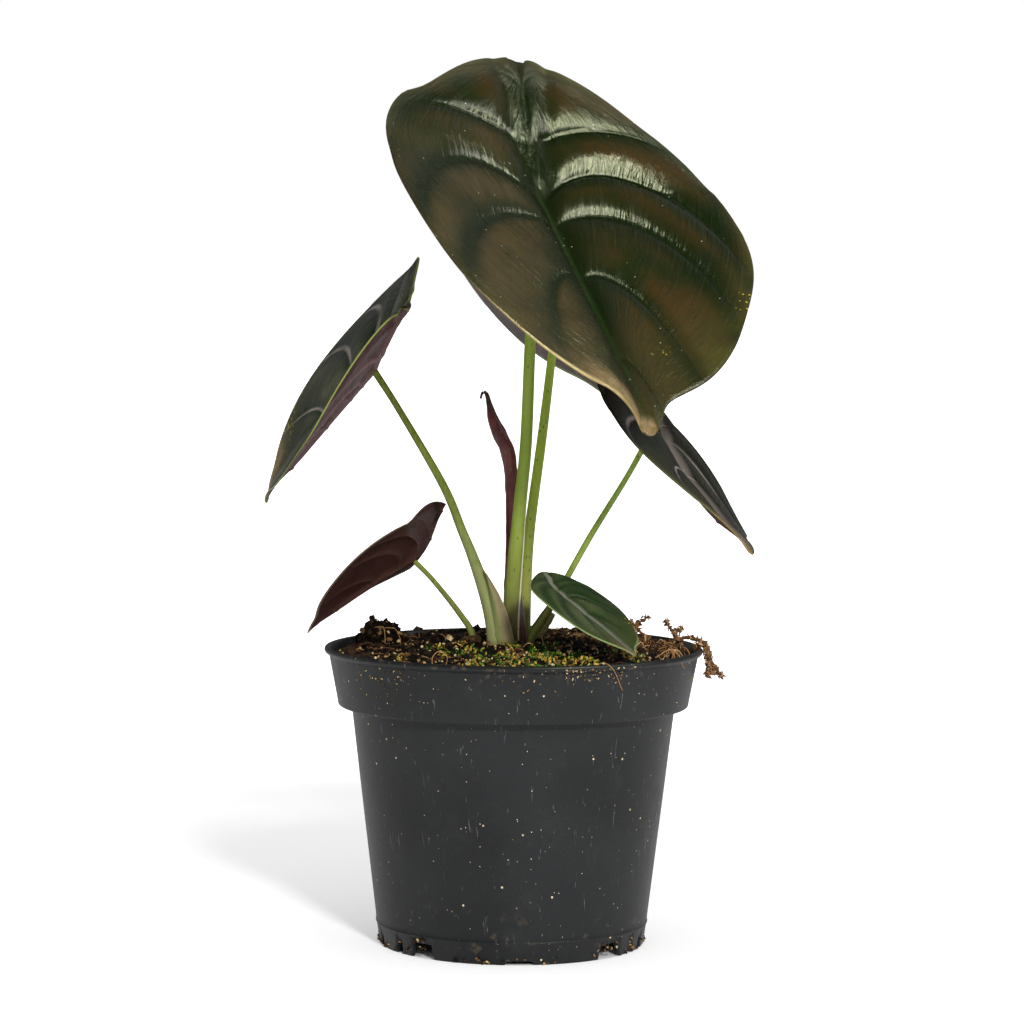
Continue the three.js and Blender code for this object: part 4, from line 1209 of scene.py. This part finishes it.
# %% Rolled leaf
ROLLED = [
    (-2.6, 12, STEM_BOTTOM, 1.2), (-2.4, 12, 94.6, 1.3), (-1.6, 12, 112, 1.6), (-1, 12, 128, 1.75),
    (-1.3, 12, 146, 1.95), (-2.6, 12, 155.2, 2.15), (-5, 12, 160.5, 2.2), (-7.2, 12, 165.4, 1.75),
    (-8.4, 12, 170.2, 0.95), (-9.3, 12, 173.6, 0.65), (-10.6, 12, 174.1, 0.45),
    (-11.2, 12, 172.2, 0.35),
]
ROLL_SIDES = 48
OVERLAP = 0.32
# The seam's angle at a height of 100 mm, its turn for each further one, both in degrees, and the
# height from which the roll is dry
SEAM_START = -70
SEAM_TURN = 2.2
DRY_FROM = 163

course = smooth_path(ROLLED, 12)
height, side = course[:, 2:3], np.arange(ROLL_SIDES)
growth = 1 - OVERLAP / 2 + OVERLAP * side / ROLL_SIDES
pinch = 1 + 0.07 * uneven(height * 0.7, side * 0.9 + 0 * height, 4, 12)
seam = np.radians(SEAM_START + SEAM_TURN * (course[:, 2] - 100))
roll = bars(course[None, :, :3], (course[:, 3:] * growth * pinch)[None], ROLL_SIDES, turn=seam)
dried = np.clip((course[:, 2] - DRY_FROM) / 9, 0, 1)
dried = np.append(np.repeat(dried, ROLL_SIDES), [0, 1])
lap = np.append(np.tile(side / ROLL_SIDES, len(course)), [0.5, 0.5])

roll_skin, paint = new_material("rolled_leaf_skin")
colour = paint.use(PATCHES, Scale=150.0, First=shade(88, 30, 34), Second=shade(116, 56, 48))
spots = paint.use(SPECKS, Scale=620.0, Size=0.36, Share=0.12)
colour = paint.mix(paint.times(spots, 0.6), colour, shade(96, 92, 40))
colour = paint.mix(paint.times(paint.fade("lap", 0.9, 1.0), 0.7), colour, shade(136, 98, 80))
colour = paint.mix(paint.fade("dried", 0.2, 1.0), colour, shade(58, 32, 24))
fibre = paint.use(RIBS, Stretch=(1600.0, 1600.0, 110.0), Warp=0.4)
paint.surface(colour, 0.4, fibre, 0.5, 0.0005)
make_piece("leaf_rolled", [(*roll, {"dried": dried, "lap": lap})], roll_skin, "rolled_leaf")

# %% [markdown]
# ## Crumbs, moss and fibres
#
# Peat is made of thousands of bits. A few body plans cover them all: a rough ball for a crumb, the
# same ball flattened and curled for a moss leaf, and a thin curved bar for a fibre. Random numbers
# from a fixed seed give each copy its place, turn, size and tint, so the bed looks random and is
# the same each time. Each copy has only a few dozen faces.


# %% Loose bits
BALL_RINGS = 3
BALL_SIDES = 6


def random_turns(count, dice):
    """Rotation matrices of random unit quaternions, spread evenly over all directions."""
    w, x, y, z = dice.normal(size=(4, count))
    w, x, y, z = np.array([w, x, y, z]) / np.sqrt(w * w + x * x + y * y + z * z)
    return np.stack([
        np.stack([1 - 2 * (y * y + z * z), 2 * (x * y - z * w), 2 * (x * z + y * w)], -1),
        np.stack([2 * (x * y + z * w), 1 - 2 * (x * x + z * z), 2 * (y * z - x * w)], -1),
        np.stack([2 * (x * z - y * w), 2 * (y * z + x * w), 1 - 2 * (x * x + y * y)], -1),
    ], 1)


def bit_parts(places, size, tint, dice, stretch=(1, 1, 1), rough=0.3, curl=0.0):
    """Small rough balls at places, each with its size and tint: ball times stretch, curled up
    along x, then turned at random."""
    tilt = np.linspace(0, np.pi, BALL_RINGS + 2)[1:-1, None]
    turn = even_angles(BALL_SIDES)
    ball = round_axis(np.sin(tilt), turn, np.cos(tilt)).reshape(-1, 3)
    ball = np.concatenate([ball, [[0, 0, 1], [0, 0, -1]]])
    count = len(places)
    body = ball * stretch * (1 + rough * dice.uniform(-1, 1, (count, len(ball), 1)))
    body[..., 2] += curl * body[..., 0] ** 2
    body = np.einsum("nij,npj->npi", random_turns(count, dice), body) * size[:, None, None]
    faces = outward(ball, capped_faces(BALL_RINGS, BALL_SIDES))
    return *copies(body + places[:, None], faces), {"tint": np.repeat(tint, len(ball))}


def on_soil(x, y, sunk=0.0):
    """Places on top of the bed."""
    return np.stack([x, y, soil_height(x, y) - sunk], -1)


def in_disc(count, limit, dice):
    """Even spread over a disc: the root of a random share gives the radius."""
    reach, angle = limit * np.sqrt(dice.uniform(0, 1, count)), dice.uniform(0, 2 * np.pi, count)
    return reach * np.cos(angle), reach * np.sin(angle)


# %% [markdown]
# ## One finish for thousands of bits
#
# Each bit carries one number, its tint. The finish lays a row of tones along that number, so that
# a spread of tints gives a natural spread of colours: many dark crumbs and a few pale ones, or
# moss from fresh green to dead brown.

# %% Tinted finish
def tinted(name, tones, rough=0.9):
    """A row of tones, picked by each bit's tint, with a little variation inside each bit."""
    material, paint = new_material(name)
    pick = paint.plus("tint", paint.fade(paint.noise(700.0, 3.0), 0.3, 0.7, -0.07, 0.07))
    colour, step = shade(*tones[0]), 1 / (len(tones) - 1)
    for k, tone in enumerate(tones[1:]):
        start = k / (len(tones) - 1)
        colour = paint.mix(paint.fade(pick, start, start + step), colour, shade(*tone))
    paint.surface(colour, rough, paint.noise(1500.0, 5.0), 0.6, 0.0004)
    return material


crumb_skin = tinted("crumb_skin", [(9, 7, 5), (23, 16, 11), (52, 35, 22), (132, 98, 54),
                                   (206, 186, 138)])
moss_skin = tinted("moss_skin", [(16, 40, 8), (44, 104, 16), (88, 116, 24), (196, 168, 66),
                                 (168, 116, 46), (66, 42, 24)], 0.6)
fibre_skin = tinted("fibre_skin", [(36, 23, 15), (92, 60, 34), (150, 106, 62), (200, 170, 124)],
                    0.8)

# %% Crumbs
CRUMBS = 4600
HEAP_CRUMBS = 240
PALE_CRUMBS = 520
CHIPS = np.array([(-31.4, 50), (-36, 46), (-51, -12), (-47, -20), (-52.5, -4), (-12.5, -1),
                  (-15, 2), (40, -16), (30, 22), (22, 34), (6, 44)])

dice = np.random.default_rng(21)
x, y = in_disc(CRUMBS, 56.2, dice)
size = np.clip(0.5 * np.exp(0.5 * dice.normal(size=CRUMBS)), 0.2, 1.8)
tint = dice.beta(0.75, 2.8, CRUMBS)
ground = bit_parts(on_soil(x, y, 0.1), size, tint, dice, stretch=(1.2, 1, 0.8), rough=0.35)
angle = dice.uniform(0, 2 * np.pi, HEAP_CRUMBS)
reach = MOUND_SPREAD * 0.95 * np.sqrt(dice.uniform(0, 1, HEAP_CRUMBS))
x, y = MOUND[0] + reach * np.cos(angle), MOUND[1] + reach * np.sin(angle)
heap = bit_parts(on_soil(x, y, 0.2), dice.uniform(0.4, 1.2, HEAP_CRUMBS),
                 dice.beta(1, 3.4, HEAP_CRUMBS), dice, rough=0.4)
chips = bit_parts(on_soil(*CHIPS.T, -0.8), dice.uniform(1.6, 2.6, len(CHIPS)),
                  dice.uniform(0.3, 0.75, len(CHIPS)), dice, stretch=(1.3, 1, 0.55), rough=0.35)
x, y = in_disc(PALE_CRUMBS, 56.4, dice)
y = np.where(np.arange(PALE_CRUMBS) % 2, -np.abs(y), y)
pale = bit_parts(on_soil(x, y, -0.5), dice.uniform(0.2, 0.6, PALE_CRUMBS),
                 dice.uniform(0.7, 1, PALE_CRUMBS), dice)
make_piece("crumbs", [ground, heap, chips, pale], crumb_skin, None)

# %% Moss
MOSS_PATCHES = 260
MOSS_LEAVES = 1550

dice = np.random.default_rng(34)
spots_x, spots_y = in_disc(MOSS_PATCHES, 55.5, dice)
in_front = spots_y < 9 * dice.normal(size=MOSS_PATCHES) - 20
kept = in_front & ((spots_x > -18) | (dice.uniform(0, 1, MOSS_PATCHES) < 0.4))
spots_x, spots_y = spots_x[kept], spots_y[kept]
which = dice.integers(0, len(spots_x), MOSS_LEAVES)
x = spots_x[which] + 1.5 * dice.normal(size=MOSS_LEAVES)
y = spots_y[which] + 1.5 * dice.normal(size=MOSS_LEAVES)
kept = np.hypot(x, y) < BED_RADII[-1]
x, y, which = x[kept], y[kept], which[kept]
patch_tint = dice.beta(1.2, 1.6, len(spots_x))[which]
tint = np.clip(patch_tint + 0.3 * dice.normal(size=len(x)), 0, 1)
lift = dice.uniform(-0.2, 1.7, len(x))
size = dice.uniform(0.3, 0.8, len(x))
moss = bit_parts(on_soil(x, y, -lift), size, tint, dice, stretch=(1.25, 0.6, 0.3), curl=0.45,
                 rough=0.15)
make_piece("moss", [moss], moss_skin, None)
print("moss patches:", len(spots_x), "leaves:", len(x))


# %% Fibres
def fibre_part(x, y, length, rise, radius, tint, dice, rings=9, sides=4):
    """Thin bars that leave the soil, arch over by rise and wander: straight run, arch, drift."""
    count = len(x)
    t = np.linspace(0, 1, rings)[None, :, None]
    heading = dice.uniform(0, 2 * np.pi, count)
    run = round_axis(1.0, heading, 0.0)[:, None] * length[:, None, None]
    drift = dice.normal(size=(count, 1, 3)) * length[:, None, None] * 0.35
    ground = on_soil(x, y)[:, None]
    middle = ground + run * (t - 0.5) + drift * np.sin(2.6 * t) * (t - 0.3)
    arch = rise[:, None] * np.sin(np.pi * t[..., 0] ** 0.8)
    middle[..., 2] = ground[..., 2] + arch - 0.2 + 0.15 * drift[..., 2] * t[..., 0]
    thin = radius[:, None] * (0.35 + 0.65 * np.sin(np.pi * np.clip(t[..., 0], 0.02, 0.98)))
    points, blocks = bars(middle, thin, sides, aside=(0.3, 0.2, 1.0))
    return points, blocks, {"tint": np.repeat(tint, rings * sides + 2)}


FLAT_FIBRES = 260
TUFT_FIBRES = 170

dice = np.random.default_rng(55)
x, y = in_disc(FLAT_FIBRES, 53, dice)
flat = fibre_part(x, y, dice.uniform(3, 10, FLAT_FIBRES), dice.uniform(0.3, 2.0, FLAT_FIBRES),
                  dice.uniform(0.08, 0.2, FLAT_FIBRES), dice.beta(1.2, 2.4, FLAT_FIBRES), dice)
x, y = 44 + 7 * dice.normal(size=TUFT_FIBRES), 8 + 13 * dice.normal(size=TUFT_FIBRES)
near = np.hypot(x, y) < 55
x, y = x[near], y[near]
tuft = fibre_part(x, y, dice.uniform(3, 9, len(x)), dice.uniform(1.0, 4.6, len(x)),
                  dice.uniform(0.14, 0.36, len(x)), dice.beta(1.8, 2.0, len(x)), dice)
make_piece("fibres", [flat, tuft], fibre_skin, None)

# %% [markdown]
# ## Strands that the eye finds
#
# A few strands are large enough to be known one by one: the dry moss that hangs over the lip on
# the right, twigs that stand up behind it, a fine root down the band, a curled fibre on the left.
# Each is a smooth curve through a few places, with stubby side leaves where the moss has them.

# %% Strands
HANGING = [(51, 5, 95.2, 0.5), (55, 3.4, 97.0, 0.55), (58.6, 1.8, 96.4, 0.6),
           (61.4, 1, 94.6, 0.55), (62.2, 0.8, 91.6, 0.5), (63.4, 0.8, 88.6, 0.5),
           (65, 0.8, 86.4, 0.45), (66.3, 0.8, 84.6, 0.3)]
SIDE_TWIGS = [
    [(62.2, 0.8, 91.5, 0.35), (61.6, 0.4, 89, 0.32), (61.9, 0.2, 86.6, 0.3),
     (61.2, 0.2, 85.2, 0.2)],
    [(63.6, 0.8, 88.4, 0.3), (63.0, 0.6, 86.8, 0.28), (63.4, 0.5, 85.6, 0.2)],
    [(44, 18, 94, 0.5), (40.5, 19, 97.4, 0.45), (38, 20, 99.9, 0.4), (37.2, 20, 100.4, 0.25)],
    [(39.4, 19.6, 98.6, 0.4), (41, 20, 100.4, 0.35), (43.2, 20, 101.9, 0.25)],
    [(53, 9, 95, 0.55), (51.2, 9.6, 97.8, 0.5), (49.2, 10, 100.6, 0.35), (48.6, 10, 101.4, 0.2)],
    [(51.4, 9.6, 97.4, 0.35), (53, 10, 98.8, 0.3), (54, 10, 99.0, 0.2)],
    [(58, -1, 94.6, 0.4), (59.6, -2, 95.4, 0.35), (60.9, -3, 93.2, 0.3), (60.6, -3, 91.4, 0.2)],
]
ROOTS = [
    [(24, -48.5, 90.4, 0.14), (27, -51.7, 94, 0.14), (28.2, -52.1, 94.4, 0.14),
     (29.6, -52.4, 93.3, 0.14), (30.6, -50.9, 91.9, 0.13), (31.6, -48.9, 89.6, 0.12),
     (32.6, -47.5, 87, 0.11), (33.3, -46.7, 85.6, 0.08)],
    [(6.5, 2, 100.5, 0.1), (8.6, 0, 98.4, 0.16), (9.2, -8, 96.6, 0.16), (10.2, -18, 95, 0.12)],
    [(-24.6, -50, 93, 0.14), (-24.6, -50, 95.8, 0.14), (-22.4, -50, 97.7, 0.13),
     (-20.2, -50, 95.9, 0.13), (-20.6, -50, 93, 0.12)],
    [(-45, 22, 97.6, 0.16), (-42.2, 19, 98, 0.16), (-41.4, 15, 95.4, 0.16),
     (-41.2, 10, 93.4, 0.12)],
    [(-42, 23, 97.4, 0.16), (-38.4, 20, 97.4, 0.16), (-36.6, 15, 94.8, 0.14),
     (-36.2, 11, 93, 0.12)],
    [(44, -33, 94.6, 0.16), (48, -31, 96.6, 0.16), (50.8, -29.4, 95.2, 0.14),
     (52.4, -29.8, 91, 0.1)],
]
dice = np.random.default_rng(8)
mossy = [HANGING] + SIDE_TWIGS
strands = [single_bar(path, 8, rough=0.22, seed=k, tint=0.35 + 0.1 * (k % 3))
           for k, path in enumerate(mossy)]
places = np.concatenate([smooth_path(path, 7)[:, :3] for path in mossy])
places = np.repeat(places, 3, axis=0)
places = places + 0.45 * dice.normal(size=places.shape)
scales = bit_parts(places, dice.uniform(0.35, 0.8, len(places)), dice.beta(2, 2, len(places)), dice,
                   stretch=(1.5, 0.5, 0.3), curl=0.3, rough=0.2)
fine = [single_bar(path, 6, tint=0.75) for path in ROOTS]
make_piece("strands", strands + [scales], fibre_skin, "hanging_root")
make_piece("fine_roots", fine, fibre_skin, None)

# %% [markdown]
# ## Dirt on the pot
#
# Watering throws peat over the lip. On the real pot it has dried in small clusters under the lip,
# and in clots at the foot where the pot stood in wet grit. Spots in the material would look the
# same from the front, but these catch the light and stand proud of the edge, so they are grains:
# the same crumbs as in the bed, placed by their angle round the pot and their height.

# %% Dirt on the band
# Where dried dirt clings to the band: degrees from the front, height, spread of both, count
BAND_DIRT = [(19, 91.2, 6, 1.0, 46), (24, 92.8, 8, 0.5, 30), (-38, 90.4, 2.5, 0.9, 16),
             (-44, 86, 5, 3, 22), (34, 90, 4, 1.4, 14), (0, 87, 50, 5, 36)]

dice = np.random.default_rng(61)
counts = [row[4] for row in BAND_DIRT]
middle, spread = (np.repeat([row[k:k + 2] for row in BAND_DIRT], counts, axis=0) for k in (0, 2))
angle, height = (middle + spread * dice.normal(size=middle.shape)).T
height = np.clip(height, BAND_LOW_Z + 1, POT_HEIGHT - 1.2)
reach = np.interp(height, [BAND_LOW_Z + 0.9, POT_HEIGHT - 3.4, POT_HEIGHT - 1.8, POT_HEIGHT - 1],
                  [BAND_LOW_RADIUS, LIP_RADIUS - 1.5, LIP_RADIUS - 0.3, LIP_RADIUS])
places = round_axis(reach, np.radians(angle - 90), height)
specks = bit_parts(places, dice.uniform(0.1, 0.34, len(places)),
                   dice.uniform(0.55, 1, len(places)), dice, stretch=(1.5, 0.8, 0.5), rough=0.35)
make_piece("band_specks", [specks], crumb_skin, None)

# %% Grit on the foot
LOOSE_GRAINS = 150
CLOTS = np.array([-42, -38, -55, 41, 43.5, 45, 47, 52, 61, 66])
GRAINS_IN_CLOT = 6

dice = np.random.default_rng(77)
angle = np.radians(dice.uniform(-180, 180, LOOSE_GRAINS) - 90)
rise = notch_height(angle) + np.abs(0.9 * dice.normal(size=LOOSE_GRAINS)) + 0.3
reach = FOOT_RADIUS + 0.15 + (SEAM_RADIUS - FOOT_RADIUS) * np.clip(rise / SEAM_Z, 0, 1)
loose = round_axis(reach, angle, rise)
around = np.repeat(np.radians(CLOTS - 90), GRAINS_IN_CLOT)
around = around + np.radians(1.3) * dice.normal(size=len(around))
rise = dice.uniform(2.2, 6.2, len(around))
reach = FOOT_RADIUS - 0.3 + 0.5 * dice.uniform(0, 1, len(around))
places = np.concatenate([loose, round_axis(reach, around, rise)])
grit = bit_parts(places, dice.uniform(0.2, 0.62, len(places)), dice.beta(2, 1.6, len(places)),
                 dice, stretch=(1.2, 0.9, 0.6), rough=0.35)
make_piece("foot_grit", [grit], crumb_skin, None)
